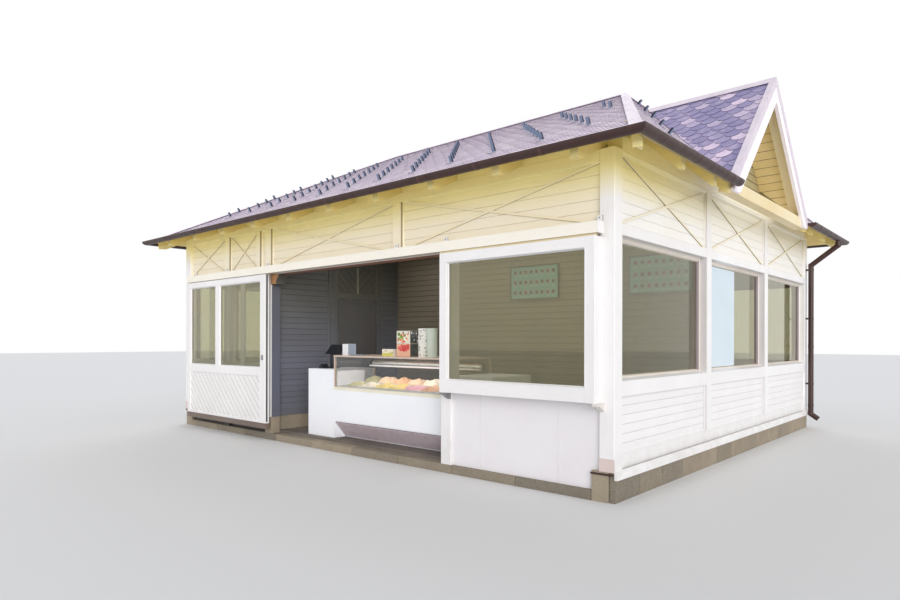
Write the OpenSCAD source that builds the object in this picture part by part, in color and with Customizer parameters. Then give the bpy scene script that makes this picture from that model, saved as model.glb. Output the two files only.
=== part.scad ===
// Wooden market hut with a serving counter, a sliding front leaf and a hipped roof with side gables.
// Millimetres, +Z up. The origin is the centre of the plan at ground level, and the front faces -Y.

/* [Plan] */
// Length of the front wall over its corner posts
hut_w = 8900; // [8700:10:9200]
// Depth of the side walls over their corner posts
hut_d = 7580; // [7400:10:7800]
// Side of the square timber posts, which is also the thickness of the walls
post_w = 165; // [150:5:180]
// Number of bays in each side wall and in the back wall
bays = 3; // [2:1:4]
// Width of the store at the left of the serving opening
store_w = 2900; // [2800:10:3000]
// Width of the window bay at the right of the serving opening
window_bay_w = 2300; // [2250:10:2400]
// Distance of the middle stud of the store's front from the left corner
store_stud = 1525; // [1400:5:1600]
// Depth of the sales room behind the front wall's face
room_d = 2830; // [2750:10:3000]
// Width of the slim frieze post at the left of the jamb
slim_post_w = 120; // [100:5:140]
// Space between that slim post and the jamb's post
slim_post_gap = 156; // [140:2:180]

/* [Levels] */
// Height of the stone plinth
plinth_h = 305; // [290:5:330]
// Width of the stone plinth
plinth_w = 250; // [230:5:270]
// Level of the kerb under the front wall
kerb_z = 105; // [90:5:120]
// Level of the floor inside
floor_z = 140; // [130:5:150]
// Underside of the base board that sheds water past the plinth
base_board_z = 233; // [220:1:250]
// Height of the base board
base_board_h = 88; // [80:1:95]
// How far the base board stands out from the posts
base_board_out = 34; // [25:1:45]
// Top of the plain rails at the foot of the side and back panels
foot_rail_z = 470; // [440:5:500]
// Underside of the sill rails
sill_z = 1040; // [950:5:1080]
// Height of the sill rails
sill_h = 152; // [120:1:170]
// Top of the windows, which is the underside of the head rails
head_z = 2652; // [2560:1:2700]
// Height of the head rails
head_h = 120; // [100:1:140]
// Height of the plates on the front and back walls
front_plate_h = 118; // [100:2:130]
// Height of the plates on the side walls
side_plate_h = 176; // [150:2:190]
// Height of the moulded rail along the top of the side friezes
top_rail_h = 42; // [30:1:60]

/* [Walls] */
// How far boarded panels are set back from the face of the posts
panel_inset = 40; // [25:1:50]
// Width of the window frames
sash_w = 58; // [45:1:70]
// Depth of the window frames
sash_t = 60; // [50:1:70]
// Distance of the window frames behind the face of the posts
sash_inset = 90; // [80:1:95]
// Thickness of the glass
glass_t = 10; // [8:1:14]
// Width of the bars that cross in the frieze
brace_w = 24; // [18:1:30]
// Thickness of the bars that cross in the frieze
brace_t = 14; // [10:1:20]
// Joint between neighbouring boards and stones
seam = 0.5; // [0.3:0.1:0.8]

/* [Roof] */
// Level of the roof's surface at its eaves
eave_z = 3480; // [3470:5:3500]
// Level of the roof's surface at the ridge
ridge_z = 5570; // [5450:5:5650]
// Overhang of the roof past the walls
eave_out = 455; // [440:5:480]
// Distance of the ends of the ridge from the side walls
hip_in = 1770; // [1700:10:1850]
// Thickness of boarding and shingles together
roof_t = 60; // [50:1:70]
// Distance of the gables' ridges below the main ridge
gable_below = 355; // [330:5:420]
// Pitch of the side gables in degrees
gable_pitch = 45; // [43:0.5:46]
// Width of the rafters
rafter_w = 90; // [70:1:100]
// Height of the rafters, measured plumb
rafter_h = 134; // [120:1:145]
// Level at which the rafter ends are cut off
rafter_cut_z = 3335; // [3320:5:3345]
// Distances of the side rafters from the corner; one more stands beside each gable
side_rafters = [660, 1567];
// Number of rafters on the front and on the back
rafter_count = 10; // [8:1:12]
// How far the rafters' ends stop short of the roof's edge
rafter_end = 40; // [30:5:60]
// Width of the metal caps on ridges and hips
cap_w = 150; // [120:5:180]
// Thickness of the metal caps
cap_t = 12; // [8:1:16]
// Width of the gutters
gutter_w = 126; // [110:2:140]
// Thickness of the gutters' metal
gutter_t = 5; // [4:1:8]
// How far the gutters' rims lie below the roof's edge
gutter_drop = 22; // [15:1:30]
// How far the side gutters stop short of the gables
gutter_end = 4; // [3:1:10]
// Outer width of the downpipes
pipe_w = 90; // [80:2:100]
// Space between the downpipes and the base boards
pipe_gap = 6; // [5:1:20]
// Length of the short neck below each gutter's outlet
pipe_neck = 70; // [60:5:90]
// Height over which the downpipes swing back to the wall
pipe_swing = 330; // [250:10:450]
// How much the downpipes' collars are wider than the pipe, as a radius
pipe_collar = 4; // [3:1:8]
// Height of the downpipes' lower end
pipe_foot = 260; // [230:10:300]
// Length of the shoe at the foot of each downpipe
shoe_l = 150; // [120:10:180]
// Angle of the shoe from plumb
shoe_lean = 55; // [40:5:60]
// Heights of the clips that hold the downpipes
pipe_clips = [800, 2000, 2900];
// Width of those clips
clip_w = 30; // [20:5:40]

/* [Gables] */
// How far the gable boarding is set back from the wall
gable_inset = 90; // [80:5:100]
// Thickness of the gable boarding
gable_t = 50; // [40:1:60]
// Depth of the raking frame behind each barge board
barge_frame_d = 140; // [110:5:160]
// Height of the raking frame, measured plumb
barge_frame_h = 130; // [100:5:160]
// Height of the plumb cut at the feet of the raking frame and the barge boards
rake_foot = 30; // [20:5:50]
// Thickness of the barge boards
barge_t = 36; // [28:1:45]
// Height of the barge boards, measured plumb
barge_h = 250; // [220:5:270]
// Height of the tie beam across the foot of each gable
tie_h = 150; // [120:5:170]
// Width of the short king post at the top of each gable
king_w = 120; // [90:5:140]
// Length of the short king post below the raking frame
king_h = 160; // [120:5:200]
// Width of the metal caps on the gables' raking edges
verge_w = 70; // [50:5:90]
// Thickness of the verge caps' turned-down front
verge_t = 8; // [6:1:12]
// How far the verge caps reach down over the barge boards
verge_drop = 25; // [15:5:40]

/* [Front] */
// Distance of the leaf's track from the face of the front wall
track_out = 45; // [42:1:60]
// Depth of the track's casing
track_d = 110; // [104:2:120]
// Height of the track's casing
track_h = 116; // [110:1:130]
// Wall of the track's casing
track_t = 12; // [10:1:14]
// Thickness of the lips along the track's slot, on which the rollers run
track_lip = 10; // [8:1:12]
// Width of the slot along the track's underside
track_slot = 20; // [18:1:22]
// Width of the brackets that carry the track
bracket_w = 60; // [50:5:80]
// How far those brackets stop short of the head rail's edges
bracket_in = 20; // [10:2:30]
// Distance of the track's ends from the hut's corners: left
track_left = 350; // [300:10:380]
// Distance of the track's ends from the hut's corners: right
track_right = 100; // [90:5:120]
// Width of the sliding leaf
leaf_w = 2600; // [2500:10:2640]
// Thickness of the sliding leaf
leaf_t = 78; // [70:1:80]
// Level of the sliding leaf's foot
leaf_z = 192; // [170:1:210]
// Height of the dark strip along the leaf's foot
kick_h = 87; // [70:1:100]
// Level of the leaf's glass
leaf_sill_z = 1157; // [1120:1:1180]
// Height of the rail below the leaf's glass
leaf_rail_h = 127; // [110:1:140]
// Width of the leaf's right stile
leaf_stile = 150; // [120:5:160]
// Width of the leaf's left stile
leaf_edge = 100; // [80:5:120]
// Distance of the leaf's mullion from its left edge
leaf_mullion = 1025; // [950:5:1100]
// Width of the leaf's mullion
leaf_mullion_w = 125; // [100:5:140]
// Height of the moulding over that dark strip
kick_rail_h = 22; // [15:1:30]
// Thickness of the leaf's boarding
leaf_board_t = 30; // [20:1:36]
// How far the boarding lies behind the leaf's face
leaf_board_in = 12; // [8:1:16]
// Length of the pull handle on the leaf
pull_h = 80; // [60:5:100]
// Height of the pull handle's middle
pull_z = 1322; // [1200:1:1400]
// Distance of the pull handle from the leaf's right edge
pull_x = 60; // [50:5:90]
// Thickness of the pull handle
pull_t = 22; // [18:1:28]
// Distance of the hangers from the edges of what they carry
hanger_in = 200; // [150:10:300]
// Radius of the hangers' bolts
bolt_r = 5; // [4:0.5:5]
// Radius of the hangers' rollers
roller_r = 18; // [15:1:20]
// Thickness of the rollers
roller_t = 9; // [7:1:12]
// Free space between things that move and what they pass
run_gap = 6; // [5.5:0.5:8]

/* [Hung window] */
// Distance of the hung window's left edge from the right corner
hung_left = 2195; // [2150:5:2240]
// Distance of the hung window's right edge from the right corner
hung_right = 137; // [125:1:150]
// Underside of the hung window
hung_z = 985; // [950:5:1000]
// Thickness of its frame
hung_t = 90; // [80:2:96]
// Space between its frame and the track
hung_gap = 22; // [15:1:30]
// Width of the board that closes the gap between its right edge and the corner post
guide_w = 28; // [20:1:32]
// Width of the two brackets under it
foot_w = 60; // [40:5:80]
// Height of those brackets
foot_h = 90; // [60:5:100]
// Width of its left stile
hung_stile = 110; // [90:5:125]
// Width of its right stile
hung_stile_right = 195; // [170:5:210]
// Height of its bottom rail
hung_rail = 148; // [120:2:160]

/* [Sales room] */
// How far the partition's face lies behind the jamb's
partition_in = 50; // [40:5:60]
// Thickness of the inner walls
inner_t = 100; // [80:5:120]
// Top of the inner walls
inner_top_z = 3200; // [3100:10:3300]
// Height of the stone course at the foot of the partition
inner_base_h = 225; // [200:5:240]
// Distance of the door's left edge behind the front wall's face
door_y = 1392; // [1360:2:1420]
// Width of the door
door_w = 893; // [860:1:920]
// Top of the door
door_top_z = 2320; // [2250:5:2340]
// Thickness of the door
door_t = 40; // [36:1:44]
// Space between the door and the floor
door_gap = 10; // [6:1:15]
// Width of the door's frame
frame_w = 106; // [90:1:110]
// Top of the framed panels over the door
overlight_z = 2960; // [2900:10:3000]
// Height of the frame between the door and those panels
overlight_foot = 114; // [90:2:130]
// Width of the frame above those panels and between them
overlight_rail = 40; // [30:2:50]
// Depth of those panels in their frame
overlight_in = 20; // [12:1:30]
// Radius of the door handle's spindle
handle_r = 9; // [7:0.5:12]
// Height of the door handle over the floor
handle_z = 900; // [850:10:1050]
// Distance of the handle from the door's front edge
handle_in = 70; // [55:5:90]
// How far the handle stands out
handle_out = 45; // [35:1:60]
// Length of the handle's lever
lever_l = 130; // [100:5:150]
// Distances of the hinges from the foot and the top of the door
hinge_in = 200; // [150:10:300]
// Thickness of the hinges' plates
plate_t = 4; // [3:0.5:5]
// Length of the hinges' plates
plate_l = 30; // [25:1:40]
// Radius of the hinge pins
pin_r = 5; // [4:0.5:6]
// Outer radius of the hinge knuckles
knuckle_r = 11; // [10:0.5:13]
// Length of each hinge
hinge_h = 150; // [120:5:170]

/* [Counter] */
// Distance of the counter's front behind the front wall's face
counter_y = 250; // [230:5:280]
// Depth of the counter
counter_d = 800; // [700:10:850]
// Distance of the counter's left end from the partition
counter_gap = 715; // [680:5:760]
// Distance of the counter's right end from the right corner
counter_right = 1700; // [1600:5:1800]
// Width of the plain block at each end of the counter
block_w = 635; // [600:5:660]
// Top of the counter's end blocks
counter_top_z = 1160; // [1120:5:1180]
// Level of the display case's floor
case_z = 868; // [850:2:880]
// Top of the display case
case_top_z = 1372; // [1350:2:1400]
// Top of the sloping grille in the counter's foot
grille_z = 398; // [370:2:420]
// How far the grille's foot is set back
grille_in = 225; // [200:5:250]
// Thickness of the grille's back plate
grille_plate = 4; // [3:1:6]
// Thickness of the grille's slats, over that plate
slat_t = 8; // [6:1:10]
// Width of the grille's slats
slat_w = 9; // [7:1:11]
// Distance from slat to slat
slat_pitch = 18; // [16:1:24]
// Margin around the grille
grille_margin = 18; // [12:1:24]
// Thickness of the display case's floor
case_floor = 38; // [30:1:45]
// Thickness of the display case's top
case_top_t = 18; // [15:1:24]
// Width of the display case's corner bars
case_bar = 28; // [22:1:34]
// How far the glass lies behind the face of the corner bars
case_glass_in = 6; // [4:1:10]
// Thickness of the display case's glass
case_glass_t = 8; // [6:1:10]
// Width of the menu screens
screen_w = 914; // [880:2:940]
// Height of the menu screens
screen_h = 536; // [520:2:560]
// Thickness of the menu screens
screen_t = 45; // [35:1:60]
// Distance of the menu screens' top below the top of the inner walls
screen_drop = 401; // [350:1:450]
// Distances of the menu screens' right edges from the right corner
screens = [2386, 303];

/* [Goods] */
// Boxes on the display case: left end and front from the case's corner, width, depth and height of each
goods_boxes = [[50, 120, 130, 150, 172], [800, 240, 232, 120, 102], [1105, 240, 268, 240, 360]];
// Middle of the stacks of tubs on the display case, from its left end
tub_stacks = [1630, 1790];
// Height of those stacks
tub_h = 390; // [350:10:420]
// Radius of the tubs
tub_r = 75; // [70:1:78]
// Distance of the till's screen from the counter's left end
till_x = 100; // [80:5:120]
// Distance of the till and of the tubs' middle behind the counter's front
till_y = 240; // [200:10:300]
// Size of the till's screen
till_screen = [364, 30, 147];
// Underside of that screen over the counter
till_screen_z = 223; // [200:1:240]
// Size of the till's stand
till_stand = [110, 140, 290];

/* [Corbel] */
// Width of the corbel's top, under the head of the serving opening
corbel_w = 210; // [180:5:230]
// Width of the corbel's foot
corbel_foot_w = 130; // [100:5:150]
// Height of the corbel
corbel_h = 160; // [140:5:180]
// Height of the upright edge at the corbel's top
corbel_edge = 48; // [30:2:70]

/* [Hidden] */
$fn = 32;

hw = hut_w / 2;
hd = hut_d / 2;
ex = hw + eave_out;
ey = hd + eave_out;
ridge_x = hw - hip_in;
wall_x = hw - post_w;
wall_y = hd - post_w;

front_slope = (ridge_z - eave_z) / ey;
end_slope = (ridge_z - eave_z) / (hip_in + eave_out);
front_drop = round(roof_t * sqrt(1 + front_slope * front_slope));
end_drop = round(roof_t * sqrt(1 + end_slope * end_slope));
gable_tan = tan(gable_pitch);
gable_drop = round(roof_t / cos(gable_pitch));
gable_top = ridge_z - gable_below;
gable_half = (gable_top - eave_z) / gable_tan;
valley_x = ex - (gable_top - eave_z) / end_slope;

// Levels of the plates, which just reach the underside of the rafters at the face of the wall
front_plate_z = floor(eave_z + front_slope * eave_out - front_drop - rafter_h);
side_plate_z = floor(eave_z + end_slope * eave_out - end_drop - rafter_h);
front_frieze_z = front_plate_z - front_plate_h;
side_frieze_z = side_plate_z - side_plate_h;

opening_left = -hw + store_w;
opening_right = hw - window_bay_w;
frieze_mid = (opening_left + wall_x) / 2;
slim_x = opening_left - post_w - slim_post_gap - slim_post_w;
store_stud_x = -hw + store_stud;
jamb_foot = floor_z + inner_base_h;

track_z = head_z;
leaf_y = -hd - track_out - track_d / 2;
leaf_x = -hw + track_left;
leaf_top_z = track_z - run_gap;
leaf_right_x = leaf_x + leaf_w;
axle_z = track_z + track_lip + 0.3 + roller_r;
hung_x = [hw - hung_left, hw - hung_right];
hung_z1 = track_z - hung_gap;

face_x = opening_left - partition_in;
door_front = -hd + door_y;
door_back = door_front + door_w;
hinge_y = door_back + run_gap / 2;
hinge_x = face_x + knuckle_r;
hinge_zs = [floor_z + hinge_in, door_top_z - hinge_in - hinge_h];

under = 100;
high = ridge_z + 1000;

function post_centre(length, k) = -length / 2 + post_w / 2 + round(k * (length - post_w) / bays);
function bay_from(length, k) = post_centre(length, k) + post_w / 2;
function bay_to(length, k) = post_centre(length, k + 1) - post_w / 2;

module slab(x, y, z) {
    translate([x[0], y[0], z[0]]) cube([x[1] - x[0], y[1] - y[0], z[1] - z[0]]);
}

module along_x(x) {
    translate([x[0], 0, 0]) rotate([90, 0, 90]) linear_extrude(x[1] - x[0]) children();
}

module along_y(y) {
    translate([0, y[1], 0]) rotate([90, 0, 0]) linear_extrude(y[1] - y[0]) children();
}

module upright(z) {
    translate([0, 0, z[0]]) linear_extrude(z[1] - z[0]) children();
}

module both_sides() {
    children();
    mirror([1, 0, 0]) children();
}

module front_and_back() {
    children();
    mirror([0, 1, 0]) children();
}

// A flat piece in the bays of the right wall, between two distances behind the wall's face
module side_bays(z, inset) {
    for (k = [0 : bays - 1])
        slab([hw - inset[1], hw - inset[0]], [bay_from(hut_d, k), bay_to(hut_d, k)], z);
}

module back_bays(z, inset) {
    for (k = [0 : bays - 1])
        slab([bay_from(hut_w, k), bay_to(hut_w, k)], [hd - inset[1], hd - inset[0]], z);
}

// Each post of the front between its corners, and each of the frieze above, from its left to its right face
stud = [store_stud_x - post_w / 2, store_stud_x + post_w / 2];
jamb = [opening_left - post_w, opening_left];
end_post = [opening_right, opening_right + post_w];
frieze_posts = [stud, [slim_x, slim_x + slim_post_w], jamb, [frieze_mid - post_w / 2, frieze_mid + post_w / 2]];

// Clear widths of the bays in the store's front and of all frieze bays; only the wide ones hold crossed bars
store_bays = [[-wall_x, stud[0]], [stud[1], jamb[0]]];
frieze_bays = [for (k = [0 : len(frieze_posts)])
    [k == 0 ? -wall_x : frieze_posts[k - 1][1], k == len(frieze_posts) ? wall_x : frieze_posts[k][0]]];
crossed_bays = [for (b = frieze_bays) if (b[1] - b[0] > 3 * post_w) b];

// Ground floor

module floor_slab() {
    color([0.55, 0.52, 0.48])
    slab([-hw + plinth_w, hw - plinth_w], [-wall_y, hd - plinth_w], [0, floor_z]);
}

// Stone plinth on three sides, and the low kerb under the front wall
module plinth() {
    color([0.66, 0.6, 0.5]) {
        both_sides() slab([hw - plinth_w, hw], [-hd, hd], [0, plinth_h]);
        slab([-hw + plinth_w + seam, hw - plinth_w - seam], [hd - plinth_w, hd], [0, plinth_h]);
        slab([-hw + plinth_w + seam, hw - plinth_w - seam], [-hd, -wall_y], [0, kerb_z]);
    }
}

// The base board has a sloping top that sheds water
module base_profile() {
    polygon([[0, base_board_z], [base_board_out, base_board_z], [base_board_out, base_board_z + base_board_h * 0.7],
        [0, base_board_z + base_board_h]]);
}

module base_boards() {
    color([0.93, 0.92, 0.88]) {
        both_sides() translate([hw, 0, 0]) along_y([-hd, hd]) base_profile();
        along_x([-hw, hw]) translate([hd, 0]) base_profile();
    }
}

// Walls

module corner_posts() {
    color([0.95, 0.94, 0.91])
    both_sides() front_and_back()
        slab([wall_x, hw], [wall_y, hd], [plinth_h, front_plate_z]);
}

module wall_posts() {
    color([0.95, 0.94, 0.91]) {
        for (k = [1 : bays - 1]) {
            both_sides() translate([0, post_centre(hut_d, k), 0])
                slab([wall_x, hw], [-post_w / 2, post_w / 2], [foot_rail_z, side_frieze_z]);
            translate([post_centre(hut_w, k), 0, 0])
                slab([-post_w / 2, post_w / 2], [wall_y, hd], [foot_rail_z, front_frieze_z]);
        }
        slab(stud, [-hd, -wall_y], [kerb_z, head_z]);
        slab(jamb, [-hd, -wall_y], [jamb_foot, head_z]);
        slab(end_post, [-hd, -wall_y], [kerb_z, head_z]);
        for (p = frieze_posts) slab(p, [-hd, -wall_y], [head_z + head_h, front_frieze_z]);
    }
}

module wall_panels() {
    color([0.94, 0.93, 0.9]) {
        both_sides() side_bays([foot_rail_z, sill_z], [panel_inset, post_w]);
        back_bays([foot_rail_z, sill_z], [panel_inset, post_w]);
    }
}

// Panels of the front: one under the hung window, stepped over the plinth, and two in the store's front
module front_wall_panels() {
    ledge = -hw + plinth_w;
    color([0.94, 0.93, 0.92])
    along_y([-hd + panel_inset, -wall_y]) {
        polygon([[end_post[1], kerb_z], [-ledge, kerb_z], [-ledge, plinth_h], [wall_x, plinth_h],
            [wall_x, hung_z], [end_post[1], hung_z]]);
        polygon([[ledge, kerb_z], [stud[0], kerb_z], [stud[0], sill_z], [-wall_x, sill_z],
            [-wall_x, plinth_h], [ledge, plinth_h]]);
        translate([stud[1], kerb_z]) square([jamb[0] - stud[1], sill_z - kerb_z]);
    }
}

// Rails under the windows, and the plain rails on the plinth, which are as far back as the panels
module sill_rails() {
    color([0.95, 0.94, 0.91]) {
        both_sides() slab([wall_x, hw - panel_inset], [-wall_y, wall_y], [plinth_h, foot_rail_z]);
        slab([-wall_x, wall_x], [wall_y, hd - panel_inset], [plinth_h, foot_rail_z]);
        both_sides() side_bays([sill_z, sill_z + sill_h], [0, post_w]);
        back_bays([sill_z, sill_z + sill_h], [0, post_w]);
        for (b = store_bays) slab(b, [-hd, -wall_y], [sill_z, sill_z + sill_h]);
    }
}

// Rails over the windows, and the slim rails along the top of the side friezes
module head_rails() {
    color([0.95, 0.94, 0.91]) {
        both_sides() side_bays([head_z, head_z + head_h], [0, post_w]);
        back_bays([head_z, head_z + head_h], [0, post_w]);
        slab([-wall_x, wall_x], [-hd, -wall_y], [head_z, head_z + head_h]);
        both_sides() side_bays([side_frieze_z - top_rail_h, side_frieze_z], [0, post_w]);
    }
}

module friezes() {
    color([0.95, 0.93, 0.86]) {
        both_sides() side_bays([head_z + head_h, side_frieze_z - top_rail_h], [panel_inset, post_w]);
        back_bays([head_z + head_h, front_frieze_z], [panel_inset, post_w]);
        for (b = frieze_bays)
            slab(b, [-hd + panel_inset, -wall_y], [head_z + head_h, front_frieze_z]);
    }
}

// A flat bar from one corner of a bay to the opposite one, its ends cut to the bay's corners
module diagonal(from, to, z) {
    lean = atan2(z[1] - z[0], abs(to - from));
    across = sign(to - from) * brace_w / 2 / sin(lean);
    up = brace_w / 2 / cos(lean);
    polygon([[from, z[0]], [from + across, z[0]], [to, z[1] - up], [to, z[1]], [to - across, z[1]], [from, z[0] + up]]);
}

// Two bars that cross, lying on the boards of a bay
module cross(from, to, z) {
    diagonal(from, to, z);
    diagonal(to, from, z);
}

module frieze_braces() {
    side_z = [head_z + head_h, side_frieze_z - top_rail_h];
    front_z = [head_z + head_h, front_frieze_z];
    color([0.86, 0.82, 0.66]) {
        both_sides() for (k = [0 : bays - 1])
            along_x([hw - panel_inset, hw - panel_inset + brace_t])
                cross(bay_from(hut_d, k), bay_to(hut_d, k), side_z);
        for (k = [0 : bays - 1])
            along_y([hd - panel_inset, hd - panel_inset + brace_t])
                cross(bay_from(hut_w, k), bay_to(hut_w, k), front_z);
        for (b = crossed_bays)
            along_y([-hd + panel_inset - brace_t, -hd + panel_inset]) cross(b[0], b[1], front_z);
    }
}

module wall_plates() {
    color([0.93, 0.91, 0.82]) {
        front_and_back() slab([-wall_x, wall_x], [wall_y, hd], [front_frieze_z, front_plate_z]);
        both_sides() slab([wall_x, hw], [-wall_y, wall_y], [side_frieze_z, side_plate_z]);
    }
}

// Windows of the side walls, the back wall and the store's front, and the glass of the hung window

module sash(from, to) {
    z = [sill_z + sill_h, head_z];
    difference() {
        translate([from, z[0]]) square([to - from, z[1] - z[0]]);
        translate([from + sash_w, z[0] + sash_w]) square([to - from - 2 * sash_w, z[1] - z[0] - 2 * sash_w]);
    }
}

module pane(from, to) {
    z = [sill_z + sill_h + sash_w, head_z - sash_w];
    translate([from + sash_w, z[0]]) square([to - from - 2 * sash_w, z[1] - z[0]]);
}

module window_frames() {
    color([0.85, 0.82, 0.78]) {
        both_sides() for (k = [0 : bays - 1])
            along_x([hw - sash_inset - sash_t, hw - sash_inset]) sash(bay_from(hut_d, k), bay_to(hut_d, k));
        for (k = [0 : bays - 1])
            along_y([hd - sash_inset - sash_t, hd - sash_inset]) sash(bay_from(hut_w, k), bay_to(hut_w, k));
        for (b = store_bays)
            along_y([-hd + sash_inset, -hd + sash_inset + sash_t]) sash(b[0], b[1]);
    }
}

module window_glass() {
    mid = sash_inset + sash_t / 2;
    color([0.6, 0.7, 0.68, 0.4]) {
        both_sides() for (k = [0 : bays - 1])
            along_x([hw - mid - glass_t / 2, hw - mid + glass_t / 2]) pane(bay_from(hut_d, k), bay_to(hut_d, k));
        for (k = [0 : bays - 1])
            along_y([hd - mid - glass_t / 2, hd - mid + glass_t / 2]) pane(bay_from(hut_w, k), bay_to(hut_w, k));
        for (b = store_bays)
            along_y([-hd + mid - glass_t / 2, -hd + mid + glass_t / 2]) pane(b[0], b[1]);
        slab([hung_x[0] + hung_stile, hung_x[1] - hung_stile_right], [leaf_y - glass_t / 2, leaf_y + glass_t / 2],
            [hung_z + hung_rail, hung_z1 - hung_stile]);
    }
}

// Roof

// All that lies below the undersides of the four main slopes, lowered by some depth
module below_roof(depth) {
    intersection() {
        along_x([-ex, ex])
            polygon([[-ey, under], [-ey, eave_z - front_drop - depth], [0, ridge_z - front_drop - depth],
                [ey, eave_z - front_drop - depth], [ey, under]]);
        along_y([-ey, ey])
            polygon([[-ex, under], [-ex, eave_z - end_drop - depth], [-ridge_x, ridge_z - end_drop - depth],
                [ridge_x, ridge_z - end_drop - depth], [ex, eave_z - end_drop - depth], [ex, under]]);
    }
}

// Rafters of the front slope: strips that end short of the hip rafters
module front_rafter_plan() {
    reach = ey - rafter_end;
    pitch = (2 * wall_x - rafter_w) / (rafter_count - 1);
    intersection() {
        for (k = [0 : rafter_count - 1])
            translate([-wall_x + k * pitch, -reach]) square([rafter_w, reach - rafter_w / 2]);
        polygon([[-ex + 2 * rafter_w, -ey], [ex - 2 * rafter_w, -ey], [ridge_x - rafter_w, -rafter_w / 2],
            [-ridge_x + rafter_w, -rafter_w / 2]]);
    }
}

module side_rafter_plan() {
    reach = ex - rafter_end;
    intersection() {
        for (y = [for (d = side_rafters) -hd + d, -gable_half - rafter_w / 2])
            translate([ridge_x, y - rafter_w / 2]) square([reach - ridge_x, rafter_w]);
        polygon([[ex, -ey + 3 * rafter_w], [ex, -gable_half], [valley_x, 0], [ridge_x, -rafter_w]]);
    }
}

module hip_rafter_plan() {
    run = sqrt((ex - ridge_x) * (ex - ridge_x) + ey * ey);
    lean = atan2(ey, ex - ridge_x);
    translate([ridge_x, 0]) rotate(-lean) translate([rafter_w, -rafter_w / 2])
        square([run - rafter_w - 3 * rafter_end, rafter_w]);
}

module rafter_set(depth) {
    difference() {
        intersection() {
            below_roof(0);
            upright([rafter_cut_z, high]) children();
        }
        below_roof(depth);
    }
}

module rafters() {
    color([0.9, 0.86, 0.72]) {
        front_and_back() rafter_set(rafter_h) front_rafter_plan();
        both_sides() front_and_back() difference() {
            rafter_set(rafter_h) {
                side_rafter_plan();
                hip_rafter_plan();
            }
            slab([wall_x, hw], [-wall_y, 0], [under, side_plate_z]);
        }
    }
}

module front_roof() {
    color([0.62, 0.57, 0.66])
    intersection() {
        along_x([-ex, ex])
            polygon([[-ey, eave_z], [0, ridge_z], [0, ridge_z - front_drop], [-ey, eave_z - front_drop]]);
        upright([under, high])
            polygon([[-ex, -ey], [ex, -ey], [ridge_x, 0], [-ridge_x, 0]]);
    }
}

module back_roof() {
    mirror([0, 1, 0]) front_roof();
}

module right_roof() {
    color([0.58, 0.54, 0.68])
    front_and_back() intersection() {
        along_y([-ey, -seam / 2])
            polygon([[ridge_x, ridge_z], [ex, eave_z], [ex, eave_z - end_drop], [ridge_x, ridge_z - end_drop]]);
        upright([under, high]) polygon([[ex, -ey], [ex, -gable_half], [valley_x, 0], [ridge_x, 0]]);
    }
}

module left_roof() {
    mirror([1, 0, 0]) right_roof();
}

module gable_roofs() {
    color([0.58, 0.54, 0.68])
    both_sides() front_and_back() intersection() {
        along_x([valley_x, ex])
            polygon([[-gable_half, eave_z], [-seam / 2, gable_top - seam / 2 * gable_tan],
                [-seam / 2, gable_top - seam / 2 * gable_tan - gable_drop], [-gable_half, eave_z - gable_drop]]);
        upright([under, high]) polygon([[ex, -gable_half], [ex, 0], [valley_x, 0]]);
    }
}

module gable_walls() {
    x = hw - gable_inset;
    half = floor(gable_half * (x - valley_x) / (ex - valley_x));
    shoulder = gable_top - gable_drop - half * gable_tan;
    color([0.93, 0.88, 0.7])
    both_sides() along_x([x - gable_t, x])
        polygon([[-half, side_plate_z], [half, side_plate_z], [half, shoulder],
            [0, gable_top - gable_drop], [-half, shoulder]]);
}

// All that lies below the gable's slopes lowered by some height, down to some level
module below_rake(lower, foot) {
    top = gable_top - gable_drop - lower;
    half = min(gable_half, (top - foot) / gable_tan);
    polygon([[-half, foot], [-half, top - half * gable_tan], [0, top], [half, top - half * gable_tan], [half, foot]]);
}

// Boards along both rakes, with plumb cuts at their feet
rake_z = gable_top - gable_drop - gable_half * gable_tan - rake_foot;

module gable_barges() {
    color([0.95, 0.93, 0.9])
    both_sides() along_x([ex - barge_t, ex]) difference() {
        below_rake(0, rake_z);
        below_rake(barge_h, rake_z - 1);
    }
}

// The frame behind each barge board: a raking pair, a tie beam across its feet and a short king post
module gable_frames() {
    color([0.93, 0.9, 0.78])
    both_sides() along_x([ex - barge_t - barge_frame_d, ex - barge_t]) {
        difference() {
            below_rake(0, rake_z);
            below_rake(barge_frame_h, rake_z + tie_h);
        }
        translate([-king_w / 2, gable_top - gable_drop - barge_frame_h - king_h]) square([king_w, king_h + king_w / 2]);
    }
}

// Everything below the four main slopes raised by some height, measured plumb
module below_slopes(raise) {
    intersection() {
        along_x([-ex, ex])
            polygon([[-ey, under], [-ey, eave_z + raise], [0, ridge_z + raise], [ey, eave_z + raise], [ey, under]]);
        along_y([-ey, ey])
            polygon([[-ex, under], [-ex, eave_z + raise], [-ridge_x, ridge_z + raise],
                [ridge_x, ridge_z + raise], [ex, eave_z + raise], [ex, under]]);
    }
}

// Sheet metal on both rakes of a gable, from one distance beside its ridge to another
module rake_strip(from, to) {
    for (side = [-1, 1])
        polygon([[side * from, gable_top - from * gable_tan], [side * to, gable_top - to * gable_tan],
            [side * to, gable_top - to * gable_tan + cap_t], [side * from, gable_top - from * gable_tan + cap_t]]);
}

// The turned-down front of that sheet metal, which covers the top of the barge boards
module rake_front() {
    drop = gable_drop + cap_t + verge_drop;
    foot = gable_top + cap_t - gable_half * gable_tan;
    polygon([[-gable_half, foot], [0, gable_top + cap_t], [gable_half, foot],
        [gable_half, foot - drop], [0, gable_top + cap_t - drop], [-gable_half, foot - drop]]);
}

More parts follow.
